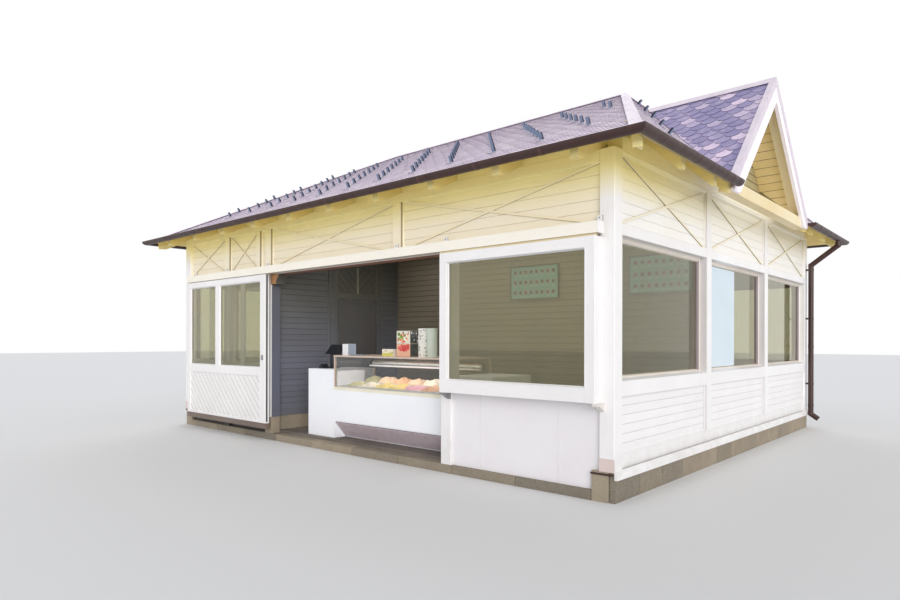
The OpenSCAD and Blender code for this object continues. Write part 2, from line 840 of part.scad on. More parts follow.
// Metal caps that fold over the ridge and the hips, and over the ridge and the raking edges of each gable
module roof_caps() {
    half = cap_w / 2;
    run = sqrt((ex - ridge_x) * (ex - ridge_x) + ey * ey);
    lean = atan2(ey, ex - ridge_x);
    color([0.85, 0.84, 0.88]) {
        difference() {
            intersection() {
                below_slopes(cap_t);
                upright([under, high]) {
                    translate([-ridge_x, -half]) square([2 * ridge_x, cap_w]);
                    both_sides() front_and_back()
                        translate([ridge_x, 0]) rotate(-lean) translate([-half, -half]) square([run + cap_w, cap_w]);
                }
            }
            below_slopes(0);
        }
        both_sides() difference() {
            union() {
                along_x([valley_x - half, ex]) rake_strip(0, half);
                along_x([ex - verge_w, ex]) rake_strip(half, gable_half);
            }
            below_slopes(0);
        }
        both_sides() along_x([ex, ex + verge_t]) rake_front();
    }
}

// Gutters and downpipes

module gutter_profile() {
    r = gutter_w / 2;
    difference() {
        circle(r);
        circle(r - gutter_t);
        translate([-r, 0]) square([2 * r, r]);
    }
}

// Half-round gutters, mitred at the corners and closed at the gables
module gutters() {
    r = gutter_w / 2;
    z = eave_z - gutter_drop;
    stop = -gable_half - gutter_end;
    color([0.27, 0.17, 0.15]) {
        front_and_back() intersection() {
            along_x([-ex - gutter_w, ex + gutter_w]) translate([-ey - r, z]) gutter_profile();
            upright([under, high])
                polygon([[-ex - gutter_w, -ey - gutter_w], [ex + gutter_w, -ey - gutter_w], [ex, -ey], [-ex, -ey]]);
        }
        both_sides() front_and_back() {
            intersection() {
                along_y([-ey - gutter_w, stop]) translate([ex + r, z]) gutter_profile();
                upright([under, high])
                    polygon([[ex + gutter_w, -ey - gutter_w], [ex + gutter_w, stop], [ex, stop], [ex, -ey]]);
            }
            along_y([stop - gutter_t, stop]) translate([ex + r, z]) intersection() {
                circle(r);
                translate([-r, -r]) square([2 * r, r]);
            }
        }
    }
}

// The downpipe drops from the gutter, swings back to the corner post, runs down it and ends in a shoe
module downpipes() {
    r = pipe_w / 2;
    out = ex + gutter_w / 2;
    wall = hw + base_board_out + pipe_gap + r;
    z = [pipe_foot, eave_z - gutter_drop - gutter_w / 2 - pipe_neck - pipe_swing, eave_z - gutter_drop - gutter_w / 2];
    lean = atan2(out - wall, pipe_swing);
    reach = sqrt(pipe_swing * pipe_swing + (out - wall) * (out - wall));
    color([0.27, 0.17, 0.15])
    both_sides() translate([0, hd - post_w / 2, 0]) {
        translate([out, 0, z[2] - pipe_neck]) cylinder(r = r, h = pipe_neck);
        translate([out, 0, z[2] - pipe_neck]) sphere(r = r + pipe_collar);
        translate([wall, 0, z[1]]) rotate([0, lean, 0]) cylinder(r = r, h = reach);
        translate([wall, 0, z[1]]) sphere(r = r + pipe_collar);
        translate([wall, 0, z[0]]) cylinder(r = r, h = z[1] - z[0]);
        translate([wall, 0, z[0]]) sphere(r = r + pipe_collar);
        translate([wall, 0, z[0]]) rotate([0, 180 - shoe_lean, 0]) cylinder(r = r, h = shoe_l);
        for (clip = pipe_clips)
            translate([hw, -clip_w / 2, clip]) cube([wall - hw, clip_w, clip_w]);
    }
}

// Front: the track, the leaf that slides on it and the window that hangs from it

// The track's casing is a box with a slot along its underside
module leaf_track() {
    color([0.95, 0.94, 0.91])
    along_x([-hw + track_left, hw - track_right]) translate([leaf_y, track_z]) difference() {
        translate([-track_d / 2, 0]) square([track_d, track_h]);
        translate([-track_d / 2 + track_t, track_lip]) square([track_d - 2 * track_t, track_h - track_lip - track_t]);
        translate([-track_slot / 2, -1]) square([track_slot, track_lip + 2]);
    }
}

// A bolt that rises through the slot to a pair of rollers on the track's lips
module hanger(x, foot) {
    inner = track_d - 2 * track_t - 2 * run_gap;
    translate([x, leaf_y, 0]) {
        translate([0, 0, foot]) cylinder(r = bolt_r, h = axle_z - foot);
        translate([0, inner / 2, axle_z]) rotate([90, 0, 0]) cylinder(r = bolt_r, h = inner);
        for (y = [-track_slot / 2 - run_gap, track_slot / 2 + run_gap + roller_t])
            translate([0, y, axle_z]) rotate([90, 0, 0]) cylinder(r = roller_r, h = roller_t);
    }
}

// Brackets behind the track, and the hangers and foot brackets of the hung window
module track_fittings() {
    spots = [-hw + track_left + bracket_w, store_stud_x, jamb[0] + post_w / 2, frieze_mid, end_post[0] + post_w / 2,
        hw - track_right - bracket_w];
    color([0.5, 0.48, 0.46]) {
        for (x = spots)
            slab([x - bracket_w / 2, x + bracket_w / 2], [-hd - track_out, -hd],
                [head_z + bracket_in, head_z + head_h - bracket_in]);
        for (x = [hung_x[0] + hanger_in, hung_x[1] - hanger_in]) hanger(x, hung_z1);
        for (x = [hung_x[0], wall_x])
            along_x([x, x + foot_w])
                polygon([[-hd, hung_z - foot_h], [-hd, hung_z], [leaf_y - hung_t / 2, hung_z],
                    [leaf_y - hung_t / 2, hung_z - foot_h / 3], [leaf_y, hung_z - foot_h / 3]]);
    }
}

// Curved bracket on the jamb, under the head of the serving opening
module corbel() {
    rise = corbel_h - corbel_edge;
    run = corbel_w - corbel_foot_w;
    r = (rise * rise + run * run) / (2 * run);
    color([0.34, 0.33, 0.33])
    translate([opening_left, 0, head_z - corbel_h]) along_y([-hd, -wall_y]) difference() {
        square([corbel_w, corbel_h]);
        translate([corbel_foot_w + r, 0]) circle(r, $fn = 64);
    }
}

module hung_window_frame() {
    y = [leaf_y - hung_t / 2, leaf_y + hung_t / 2];
    glass_w = hung_x[1] - hung_x[0] - hung_stile - hung_stile_right;
    color([0.95, 0.94, 0.93]) {
        along_y(y) difference() {
            translate([hung_x[0], hung_z]) square([hung_x[1] - hung_x[0], hung_z1 - hung_z]);
            translate([hung_x[0] + hung_stile, hung_z + hung_rail])
                square([glass_w, hung_z1 - hung_z - hung_rail - hung_stile]);
        }
        slab([hung_x[1] - guide_w, hung_x[1]], [y[1], -hd], [hung_z, hung_z1]);
    }
}

leaf_panes = [[leaf_x + leaf_edge, leaf_x + leaf_mullion], [leaf_x + leaf_mullion + leaf_mullion_w, leaf_right_x - leaf_stile]];
leaf_pane_z = [leaf_sill_z, leaf_top_z - leaf_edge];
leaf_panel_x = [leaf_x + leaf_edge, leaf_right_x - leaf_stile];
leaf_panel_z = [leaf_z + kick_h + kick_rail_h, leaf_sill_z - leaf_rail_h];

module leaf_frame() {
    color([0.94, 0.93, 0.91])
    along_y([leaf_y - leaf_t / 2, leaf_y + leaf_t / 2])
        difference() {
            translate([leaf_x, leaf_z]) square([leaf_w, leaf_top_z - leaf_z]);
            for (p = leaf_panes)
                translate([p[0], leaf_pane_z[0]]) square([p[1] - p[0], leaf_pane_z[1] - leaf_pane_z[0]]);
            translate([leaf_panel_x[0], leaf_panel_z[0]])
                square([leaf_panel_x[1] - leaf_panel_x[0], leaf_panel_z[1] - leaf_panel_z[0]]);
        }
}

module leaf_panel() {
    front = leaf_y - leaf_t / 2 + leaf_board_in;
    color([0.93, 0.91, 0.88]) slab(leaf_panel_x, [front, front + leaf_board_t], leaf_panel_z);
}

module leaf_glass() {
    color([0.6, 0.7, 0.68, 0.4])
    for (p = leaf_panes) slab(p, [leaf_y - glass_t / 2, leaf_y + glass_t / 2], leaf_pane_z);
}

// The leaf's hangers and its pull handle
module leaf_hangers() {
    front = leaf_y - leaf_t / 2;
    color([0.55, 0.55, 0.57]) {
        for (x = [leaf_x + hanger_in, leaf_right_x - hanger_in]) hanger(x, leaf_top_z);
        slab([leaf_right_x - pull_x - pull_t, leaf_right_x - pull_x], [front - pull_t, front],
            [pull_z - pull_h / 2, pull_z + pull_h / 2]);
    }
}

// Sales room

// The partition stands beside the door at its front and back, and over it
module partition() {
    x = [face_x - inner_t, face_x];
    color([0.42, 0.42, 0.44]) {
        slab(x, [-wall_y, door_front - frame_w], [jamb_foot, inner_top_z]);
        slab(x, [door_back + frame_w, -hd + room_d], [jamb_foot, inner_top_z]);
        slab(x, [door_front - frame_w + seam, door_back + frame_w - seam], [overlight_z, inner_top_z]);
    }
}

// Stone course under the partition and under the jamb
module partition_base() {
    x = [face_x - inner_t, face_x];
    color([0.5, 0.46, 0.4]) {
        slab(x, [-wall_y, door_front - frame_w], [floor_z, jamb_foot]);
        slab(x, [door_back + frame_w, -hd + room_d], [floor_z, jamb_foot]);
        slab(jamb, [-hd, -wall_y], [kerb_z, jamb_foot]);
    }
}

module hinge_part(level, bored) {
    translate([hinge_x, hinge_y, level]) difference() {
        union() {
            cylinder(r = knuckle_r, h = hinge_h / 2 - 1);
            children();
        }
        if (bored) translate([0, 0, -1]) cylinder(r = pin_r + 0.3, h = hinge_h / 2 + 1);
    }
}

module door_frame() {
    x = [face_x - inner_t, face_x];
    y = [door_front - frame_w, door_back + frame_w];
    middle = (door_front + door_back) / 2;
    head = door_top_z + run_gap;
    panes = [[door_front, middle - overlight_rail / 2], [middle + overlight_rail / 2, door_back]];
    color([0.4, 0.4, 0.42]) {
        slab(x, [y[0], door_front - run_gap], [floor_z, head]);
        slab(x, [door_back + run_gap, y[1]], [floor_z, head]);
        difference() {
            slab(x, y, [head + seam, overlight_z]);
            for (p = panes)
                slab([face_x - overlight_in, face_x + 1], p, [head + overlight_foot, overlight_z - overlight_rail]);
        }
        for (level = hinge_zs) hinge_part(level, false) {
            cylinder(r = pin_r, h = hinge_h - plate_t);
            translate([-knuckle_r, 0, 0]) cube([plate_t, plate_l, hinge_h / 2 - 1]);
        }
    }
}

module service_door() {
    color([0.38, 0.38, 0.4]) {
        slab([face_x - door_t, face_x], [door_front, door_back], [floor_z + door_gap, door_top_z]);
        for (level = hinge_zs)
            hinge_part(level + hinge_h / 2, true)
                translate([-knuckle_r, -plate_l, 0]) cube([plate_t, plate_l, hinge_h / 2 - 1]);
        translate([face_x, door_front + handle_in, floor_z + handle_z]) rotate([0, 90, 0]) {
            cylinder(r = handle_r, h = handle_out);
            translate([-handle_r, -handle_r, handle_out - handle_r]) cube([2 * handle_r, lever_l, 1.5 * handle_r]);
        }
    }
}

// Back wall of the sales room, stepped over the plinth at its right end
module back_room_wall() {
    y = -hd + room_d;
    ledge = hw - plinth_w;
    color([0.36, 0.36, 0.38])
    along_y([y, y + inner_t])
        polygon([[face_x - inner_t, floor_z], [ledge, floor_z], [ledge, plinth_h], [wall_x, plinth_h],
            [wall_x, inner_top_z], [face_x - inner_t, inner_top_z]]);
}

counter_x = [face_x + counter_gap, hw - counter_right];
case_x = [counter_x[0] + block_w, counter_x[1] - block_w];
counter_front = -hd + counter_y;
counter_back = counter_front + counter_d;

module counter() {
    color([0.93, 0.93, 0.93]) {
        slab([counter_x[0], case_x[0]], [counter_front, counter_back], [floor_z, counter_top_z]);
        slab([case_x[1], counter_x[1]], [counter_front, counter_back], [floor_z, counter_top_z]);
        along_x([case_x[0] + seam, case_x[1] - seam])
            polygon([[counter_front, grille_z], [counter_front + grille_in, floor_z], [counter_back, floor_z],
                [counter_back, case_z], [counter_front, case_z]]);
    }
}

// Slats on a plate, along the sloping foot of the counter
module counter_grille() {
    rise = grille_z - floor_z;
    length = sqrt(grille_in * grille_in + rise * rise) - 2 * grille_margin;
    color([0.55, 0.53, 0.54])
    translate([0, counter_front, grille_z]) rotate([atan2(grille_in, rise), 0, 0])
        along_x([case_x[0] + grille_margin, case_x[1] - grille_margin])
        translate([-seam - grille_plate, -grille_margin - length]) {
            square([grille_plate, length]);
            for (z = [0 : slat_pitch : length - slat_w])
                translate([-slat_t, z]) square([slat_t, slat_w]);
        }
}

module display_case() {
    bars = [[case_x[0], counter_front], [case_x[1] - case_bar, counter_front],
        [case_x[0], counter_back - case_bar], [case_x[1] - case_bar, counter_back - case_bar]];
    color([0.8, 0.8, 0.8]) {
        slab(case_x, [counter_front, counter_back], [case_z, case_z + case_floor]);
        slab(case_x, [counter_front, counter_back], [case_top_z - case_top_t, case_top_z]);
        for (bar = bars)
            slab([bar[0], bar[0] + case_bar], [bar[1], bar[1] + case_bar], [case_z, case_top_z]);
    }
}

module display_glass() {
    z = [case_z + case_floor, case_top_z - case_top_t];
    front = counter_front + case_glass_in;
    color([0.7, 0.8, 0.8, 0.4]) {
        slab([case_x[0] + case_bar, case_x[1] - case_bar], [front, front + case_glass_t], z);
        for (x = [case_x[0] + case_glass_in, case_x[1] - case_glass_in - case_glass_t])
            slab([x, x + case_glass_t], [counter_front + case_bar, counter_back - case_bar], z);
    }
}

module menu_screens() {
    y = -hd + room_d;
    top = inner_top_z - screen_drop;
    color([0.1, 0.12, 0.12])
    for (s = screens) slab([hw - s - screen_w, hw - s], [y - screen_t, y], [top - screen_h, top]);
}

// The till on the counter's left end, and what stands on the display case
module counter_goods() {
    till = [counter_x[0] + till_x, counter_front + till_y];
    stand_x = till[0] + (till_screen[0] - till_stand[0]) / 2;
    color([0.5, 0.5, 0.5]) {
        translate([till[0], till[1], counter_top_z + till_screen_z]) cube(till_screen);
        translate([stand_x, till[1], counter_top_z]) cube(till_stand);
        for (b = goods_boxes)
            translate([case_x[0] + b[0], counter_front + b[1], case_top_z]) cube([b[2], b[3], b[4]]);
        for (x = tub_stacks)
            translate([case_x[0] + x, counter_front + till_y, case_top_z]) cylinder(r = tub_r, h = tub_h);
    }
}

floor_slab();
plinth();
base_boards();
corner_posts();
wall_posts();
wall_panels();
front_wall_panels();
sill_rails();
head_rails();
friezes();
frieze_braces();
wall_plates();
window_frames();
window_glass();
rafters();
front_roof();
back_roof();
right_roof();
left_roof();
gable_roofs();
gable_walls();
gable_barges();
gable_frames();
roof_caps();
gutters();
downpipes();
leaf_track();
track_fittings();
corbel();
hung_window_frame();
leaf_frame();
leaf_panel();
leaf_glass();
leaf_hangers();
partition();
partition_base();
door_frame();
service_door();
back_room_wall();
counter();
counter_grille();
display_case();
display_glass();
counter_goods();
menu_screens();
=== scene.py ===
"""Looks of the wooden market hut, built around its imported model. Metres, +Z up, and the front faces -Y."""
import math
import random

import bmesh
import bpy
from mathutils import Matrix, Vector, noise


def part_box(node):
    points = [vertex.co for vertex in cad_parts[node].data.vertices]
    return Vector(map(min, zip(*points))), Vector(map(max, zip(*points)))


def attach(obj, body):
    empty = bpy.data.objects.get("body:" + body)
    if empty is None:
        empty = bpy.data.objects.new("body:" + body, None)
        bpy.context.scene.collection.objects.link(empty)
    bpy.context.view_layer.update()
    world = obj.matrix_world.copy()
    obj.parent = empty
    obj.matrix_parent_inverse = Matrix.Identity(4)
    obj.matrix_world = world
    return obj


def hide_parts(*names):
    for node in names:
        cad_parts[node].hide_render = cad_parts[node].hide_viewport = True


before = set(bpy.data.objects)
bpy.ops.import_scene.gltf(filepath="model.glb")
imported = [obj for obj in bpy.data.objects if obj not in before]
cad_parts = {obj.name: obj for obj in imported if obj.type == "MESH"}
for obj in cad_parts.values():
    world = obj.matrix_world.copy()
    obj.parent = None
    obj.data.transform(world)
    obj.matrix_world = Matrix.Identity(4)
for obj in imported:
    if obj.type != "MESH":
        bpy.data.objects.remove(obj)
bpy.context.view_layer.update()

X = Vector((1, 0, 0))
Y = Vector((0, 1, 0))
Z = Vector((0, 0, 1))


# Camera, light and floor

CAMERA_PLACE = (7.3844, -9.488, 1.6)
CAMERA_TURN = (math.pi / 2, -0.002, 0.7287)
LENS = 25.446
LENS_SHIFT = 0.0449
SKY = (0.93, 0.95, 1.0)
SKY_LIGHT = 0.65
LAMP_COLOUR = (0.96, 0.97, 1.0)
FLOOR_SIZE = 160
FLOOR_GREY = 0.8


def add(name, data, place=(0, 0, 0), turn=(0, 0, 0), **values):
    """An object of the scene, with values set on its data."""
    for key, value in values.items():
        setattr(data, key, value)
    thing = bpy.data.objects.new(name, data)
    thing.location = place
    thing.rotation_euler = turn
    bpy.context.scene.collection.objects.link(thing)
    return thing


def make_camera():
    bpy.context.scene.camera = add("camera", bpy.data.cameras.new("camera"), CAMERA_PLACE, CAMERA_TURN,
                                   lens=LENS, sensor_width=36, shift_y=LENS_SHIFT, clip_end=500)


def sun(name, strength, angle, direction, colour):
    turn = (-Vector(direction)).to_track_quat("-Z", "Y").to_euler()
    values = {"energy": strength, "angle": math.radians(angle), "color": colour}
    add(name, bpy.data.lights.new(name, "SUN"), turn=turn, **values)


def ceiling_lamp(name, place, size, power):
    add(name, bpy.data.lights.new(name, "AREA"), place, shape="RECTANGLE", size=size[0], size_y=size[1],
        energy=power, color=LAMP_COLOUR)


def seen_directly(tree):
    """1 for rays of the camera, of mirrors and of glass, else 0."""
    path = tree.nodes.new("ShaderNodeLightPath")
    total = path.outputs["Is Camera Ray"]
    for ray in ("Is Glossy Ray", "Is Transmission Ray"):
        highest = tree.nodes.new("ShaderNodeMath")
        highest.operation = "MAXIMUM"
        tree.links.new(total, highest.inputs[0])
        tree.links.new(path.outputs[ray], highest.inputs[1])
        total = highest.outputs[0]
    return total


def make_light():
    """Soft light, and a plain white world where it is seen itself."""
    world = bpy.data.worlds.new("world")
    bpy.context.scene.world = world
    world.use_nodes = True
    tree = world.node_tree
    tree.nodes.clear()
    mix = tree.nodes.new("ShaderNodeMixShader")
    tree.links.new(seen_directly(tree), mix.inputs[0])
    for k, (colour, strength) in enumerate(((SKY, SKY_LIGHT), ((1, 1, 1), 1))):
        light = tree.nodes.new("ShaderNodeBackground")
        light.inputs["Color"].default_value = (*colour, 1)
        light.inputs["Strength"].default_value = strength
        tree.links.new(light.outputs[0], mix.inputs[k + 1])
    output = tree.nodes.new("ShaderNodeOutputWorld")
    tree.links.new(mix.outputs[0], output.inputs["Surface"])
    sun("key", 0.38, 28, (0.74, -0.66, 0.62), (1, 0.97, 0.92))
    sun("low_fill", 2.0, 40, (1.0, -0.8, 0.15), (1, 0.98, 0.96))
    sun("rear", 0.6, 45, (-0.7, 0.8, 0.7), (0.96, 0.98, 1.0))
    ceiling_lamp("room", (1.2, -2.2, 3.15), (4.5, 1.6), 28)
    ceiling_lamp("case", (0.95, -3.2, 1.335), (2.0, 0.3), 4.5)


def make_floor():
    half = FLOOR_SIZE / 2
    mesh = bpy.data.meshes.new("studio_floor")
    corners = [(-half, -half, 0), (half, -half, 0), (half, half, 0), (-half, half, 0)]
    mesh.from_pydata(corners, [], [(0, 1, 2, 3)])
    material = bpy.data.materials.new("studio_floor")
    material.use_nodes = True
    shader = material.node_tree.nodes["Principled BSDF"]
    shader.inputs["Base Color"].default_value = (FLOOR_GREY, FLOOR_GREY, FLOOR_GREY, 1)
    shader.inputs["Roughness"].default_value = 0.9
    mesh.materials.append(material)
    add("studio_floor", mesh)


# Materials

LOOKS = {}
# Painted warm light under the eaves
EAVES_PAINTED_LIGHT = (1.0, 0.95, 0.68)
# Dark of joints, also used for painted shadow on side faces
JOINT_AND_SHADOW_DARK = (0.55, 0.48, 0.36)
INNER_JOINT = (0.16, 0.15, 0.13)
# Painted shadow on reveals that face the front in the side walls
REVEAL_PAINTED_SHADOW = (0.52, 0.47, 0.5)
# Painted warm light on faces at the front
FRONT_PAINTED_LIGHT = (1.0, 0.94, 0.78)
# Painted shadow high in the sales room
PAINTED_HIGH_SHADOW = (0.36, 0.355, 0.31)
PALE_PAINT = (0.9, 0.88, 0.86)
BARE_WOOD = (0.5, 0.45, 0.4)
GRAIN_LINES = (0.42, 0.38, 0.34)
MUD = (0.6, 0.54, 0.46)
LICHEN = (0.38, 0.37, 0.4)
SMEARED_GLASS = (0.8, 0.84, 0.82)
# Heights and depths over which painted eaves light, painted shadow high in the room and dirt come and go
EAVES_LIGHT_Z = (3.0, 3.34)
EAVES_LIGHT_Y = (-3.2, -0.9)
PAINTED_HIGH_SHADOW_Z = (1.3, 2.5)
DIRT_Z = (0.2, 0.6)


def linear(colour):
    """The linear value of a colour written as it shows on screen."""
    return tuple(c / 12.92 if c <= 0.04045 else ((c + 0.055) / 1.055) ** 2.4 for c in colour)


class Look:
    """One material, as a tree of procedural nodes round a principled shader."""

    def __init__(self, name, own_grain=False):
        self.name = name
        self.material = bpy.data.materials.new(name)
        self.material.use_nodes = True
        self.tree = self.material.node_tree
        self.object = self.node("TexCoord", output="Object")
        self.place = self.attribute("grain", "Vector") if own_grain else self.object

    def put(self, socket, value):
        if isinstance(value, bpy.types.NodeSocket):
            self.tree.links.new(value, socket)
        elif isinstance(value, tuple) and len(value) == 3 and len(socket.default_value) == 4:
            socket.default_value = (*linear(value), 1)
        else:
            socket.default_value = value

    def node(self, kind, inputs=None, output=0, **settings):
        node = self.tree.nodes.new("ShaderNode" + kind)
        for key, value in settings.items():
            setattr(node, key, value)
        for key, value in (inputs or {}).items():
            self.put(node.inputs[key], value)
        return node.outputs[output]

    def attribute(self, name, output="Fac"):
        return self.node("Attribute", output=output, attribute_name=name)

    def scaled(self, scale=(1, 1, 1), place=None):
        return self.node("VectorMath", {0: place or self.place, 1: scale}, operation="MULTIPLY")

    def noise(self, scale, detail=3, stretch=(1, 1, 1), place=None, roughness=0.55):
        """Noise between 0 and 1, mostly near a half."""
        size = {"Scale": scale, "Detail": detail, "Roughness": roughness}
        return self.node("TexNoise", {"Vector": self.scaled(stretch, place), **size}, "Fac")

    def overall(self, scale, detail, roughness=0.55):
        """Noise that runs on from piece to piece."""
        return self.noise(scale, detail, place=self.object, roughness=roughness)

    def spread(self, value, low, high, to_low=0.0, to_high=1.0):
        """The value's range from low to high, stretched to another range and cut off at its ends."""
        ends = {"From Min": low, "From Max": high, "To Min": to_low, "To Max": to_high}
        return self.node("MapRange", {"Value": value, **ends}, "Result")

    def math(self, operation, a, b=0.0):
        return self.node("Math", {0: a, 1: b}, operation=operation)

    def times(self, a, b):
        return self.math("MULTIPLY", a, b)

    def mix(self, share, a, b):
        """Colour a turned into colour b by a share."""
        return self.node("Mix", {0: share, 6: a, 7: b}, 2, data_type="RGBA")

    def fade(self, tone, colour, value, low, high, most=1.0):
        """The tone turned into a colour: not at all where the value is low, most where it is high."""
        return self.mix(self.spread(value, low, high, 0, most), tone, colour)

    def along(self, axis):
        return self.node("SeparateXYZ", {0: self.object}, axis)

    def facing(self, axis):
        """The part of the surface's own direction along an axis."""
        return self.node("SeparateXYZ", {0: self.node("NewGeometry", output="True Normal")}, axis)

    def finish(self, colour, roughness, relief=None, depth=0.0, **values):
        if relief is not None:
            values["Normal"] = self.node("Bump", {"Height": relief, "Distance": depth})
        shader = self.tree.nodes["Principled BSDF"]
        for key, value in {"Base_Color": colour, "Roughness": roughness, **values}.items():
            self.put(shader.inputs[key.replace("_", " ")], value)
        LOOKS[self.name] = self.material


def timber(name, colour, shade, level=False, worn=0.3, ground_dirt=0.25, painted_eaves_light=0.0, joints=0.5,
           painted_side_shadow=0.0, side_shadow_axis="Z", painted_reveal_shadow=0.0, painted_front_light=0.0, painted_high_shadow=0.0, joint=JOINT_AND_SHADOW_DARK):
    """Paint on timber: grain that shows through, patches of a second shade, worn spots and dirt, and where
    asked painted light (eaves, front) and painted shadow (sides, reveals, high up).
    """
    look = Look(name, not level)
    stretch = (1, 1, 22) if level else (1, 22, 22)
    fine = look.noise(6, 4, stretch, roughness=0.65)
    patches = look.overall(1.1, 5, 0.6)
    tone = look.fade(colour, shade, patches, 0.35, 0.72, 0.7)
    if not level:
        tone = look.fade(tone, shade, look.attribute("tint"), 0, 1, 0.4)
    # Painted warm light on the faces at the front
    if painted_front_light:
        on_front = look.math("LESS_THAN", look.along("Y"), -WALL_Y - 0.01)
        tone = look.mix(look.times(on_front, painted_front_light), tone, FRONT_PAINTED_LIGHT)
    # Painted shadow, stronger higher up
    if painted_high_shadow:
        tone = look.fade(tone, PAINTED_HIGH_SHADOW, look.along("Z"), *PAINTED_HIGH_SHADOW_Z, painted_high_shadow)
    # Painted warm light under the eaves, weaker along the side walls away from the front
    if painted_eaves_light:
        near_eave = look.spread(look.along("Z"), *EAVES_LIGHT_Z, 0, painted_eaves_light)
        near_front = look.spread(look.along("Y"), *EAVES_LIGHT_Y, 1, 0.25)
        tone = look.mix(look.times(near_eave, near_front), tone, EAVES_PAINTED_LIGHT)
    tone = look.fade(tone, GRAIN_LINES, fine, 0.52, 0.75, 0.1)
    spots = look.spread(look.noise(9, 6, stretch, roughness=0.75), 0.68, 0.73)
    bare = look.times(spots, look.spread(look.overall(2.3, 2), 0.52, 0.62))
    tone = look.mix(look.times(bare, worn), tone, BARE_WOOD)
    if not level:
        tone = look.mix(look.times(look.attribute("edge"), joints), tone, joint)
    # Painted shadow on faces that lie across an axis
    if painted_side_shadow:
        side = look.math("ABSOLUTE", look.facing(side_shadow_axis))
        tone = look.fade(tone, JOINT_AND_SHADOW_DARK, side, 0.3, 0.5, painted_side_shadow)
    # Painted shadow on the front-facing reveals of the side walls
    if painted_reveal_shadow:
        side_wall = look.math("GREATER_THAN", look.math("ABSOLUTE", look.along("X")), WALL_X + 0.01)
        to_front = look.math("LESS_THAN", look.facing("Y"), -0.5)
        tone = look.mix(look.times(look.times(side_wall, to_front), painted_reveal_shadow), tone, REVEAL_PAINTED_SHADOW)
    low = look.spread(look.along("Z"), *DIRT_Z, 1, 0)
    mud = look.times(low, look.spread(look.overall(5, 6), 0.35, 0.75))
    tone = look.mix(look.times(mud, ground_dirt), tone, MUD)
    relief = look.math("SUBTRACT", fine, look.times(bare, 0.6))
    look.finish(tone, look.spread(patches, 0.3, 0.7, 0.42, 0.6), relief, 0.001)


def tiles(name, cool, middle, pale, edge):
    """Scalloped roof tiles: each its own shade between three, with bloom, lichen, weathering and painted
    shadow on their edges.
    """
    look = Look(name, True)
    tint = look.attribute("tint")
    tone = look.fade(cool, middle, tint, 0, 0.55)
    tone = look.fade(tone, pale, tint, 0.6, 0.95)
    mottle = look.noise(14, 6, roughness=0.7)
    tone = look.fade(tone, cool, mottle, 0.45, 0.8, 0.45)
    tone = look.fade(tone, pale, look.overall(4, 5, 0.65), 0.52, 0.75, 0.5)
    tone = look.fade(tone, LICHEN, look.overall(30, 6, 0.8), 0.66, 0.74, 0.45)
    # Painted shadow on the tiles' edges
    tone = look.mix(look.times(look.attribute("edge"), 0.9), tone, edge)
    relief = look.math("ADD", look.noise(60, 5, roughness=0.7), look.times(mottle, 2))
    look.finish(tone, look.spread(mottle, 0.3, 0.7, 0.55, 0.8), relief, 0.0012)


def metal(name, colour, shade, metallic=0.0, roughness=0.4, pale_beyond=None):
    """Painted or bare sheet metal with stains that run down and fine dirt, painted pale beyond an X."""
    look = Look(name)
    runs = look.noise(3, 5, (3, 3, 0.5), roughness=0.65)
    specks = look.noise(70, 4, roughness=0.7)
    tone = look.fade(colour, shade, runs, 0.42, 0.72, 0.4)
    tone = look.fade(tone, shade, specks, 0.6, 0.8, 0.35)
    if pale_beyond is not None:
        tone = look.mix(look.math("GREATER_THAN", look.along("X"), pale_beyond), tone, PALE_PAINT)
    rough = look.spread(runs, 0.3, 0.7, roughness, roughness + 0.2)
    look.finish(tone, rough, specks, 0.0004, Metallic=metallic)


def hook_metal(name, colour, dark):
    """Galvanised straps with stains, and dark ends of painted shadow."""
    look = Look(name)
    stains = look.noise(40, 4, roughness=0.7)
    tone = look.mix(look.attribute("edge"), look.fade(colour, dark, stains, 0.4, 0.7, 0.3), dark)
    look.finish(tone, 0.5, stains, 0.0004, Metallic=0.2)


def grille_paint(name, colour, dark):
    """Slats on a darker plate: dark where the surface lies near the plate."""
    look = Look(name)
    rise = GRILLE_TOP - FLOOR_Z
    length = math.hypot(rise, GRILLE_IN)
    out_y = look.times(look.math("SUBTRACT", look.along("Y"), COUNTER_LOW.y), -rise / length)
    out_z = look.times(look.math("SUBTRACT", look.along("Z"), GRILLE_TOP), -GRILLE_IN / length)
    on_plate = look.math("LESS_THAN", look.math("ADD", out_y, out_z), GRILLE_SLAT_T)
    stains = look.noise(12, 4, roughness=0.7)
    tone = look.mix(on_plate, look.fade(colour, dark, stains, 0.4, 0.7, 0.3), dark)
    look.finish(tone, 0.5, stains, 0.0004)


def stone(name, colour, shade):
    """Sawn stone: each block its own shade, with specks, stains and small pits."""
    look = Look(name, True)
    specks = look.noise(55, 6, roughness=0.75)
    tone = look.mix(look.attribute("tint"), colour, shade)
    tone = look.fade(tone, (0.8, 0.74, 0.65), specks, 0.35, 0.7, 0.35)
    tone = look.fade(tone, (0.44, 0.4, 0.35), look.overall(3, 5, 0.65), 0.45, 0.75, 0.4)
    cells = look.node("TexVoronoi", {"Vector": look.scaled(), "Scale": 40}, "Distance")
    relief = look.math("ADD", specks, look.times(look.spread(cells, 0, 0.35), 0.5))
    look.finish(tone, 0.82, relief, 0.004)


def concrete(name, colour, shade):
    look = Look(name)
    patches = look.noise(2, 6, roughness=0.65)
    relief = look.math("ADD", look.noise(120, 3), patches)
    look.finish(look.fade(colour, shade, patches, 0.35, 0.7), 0.85, relief, 0.002)


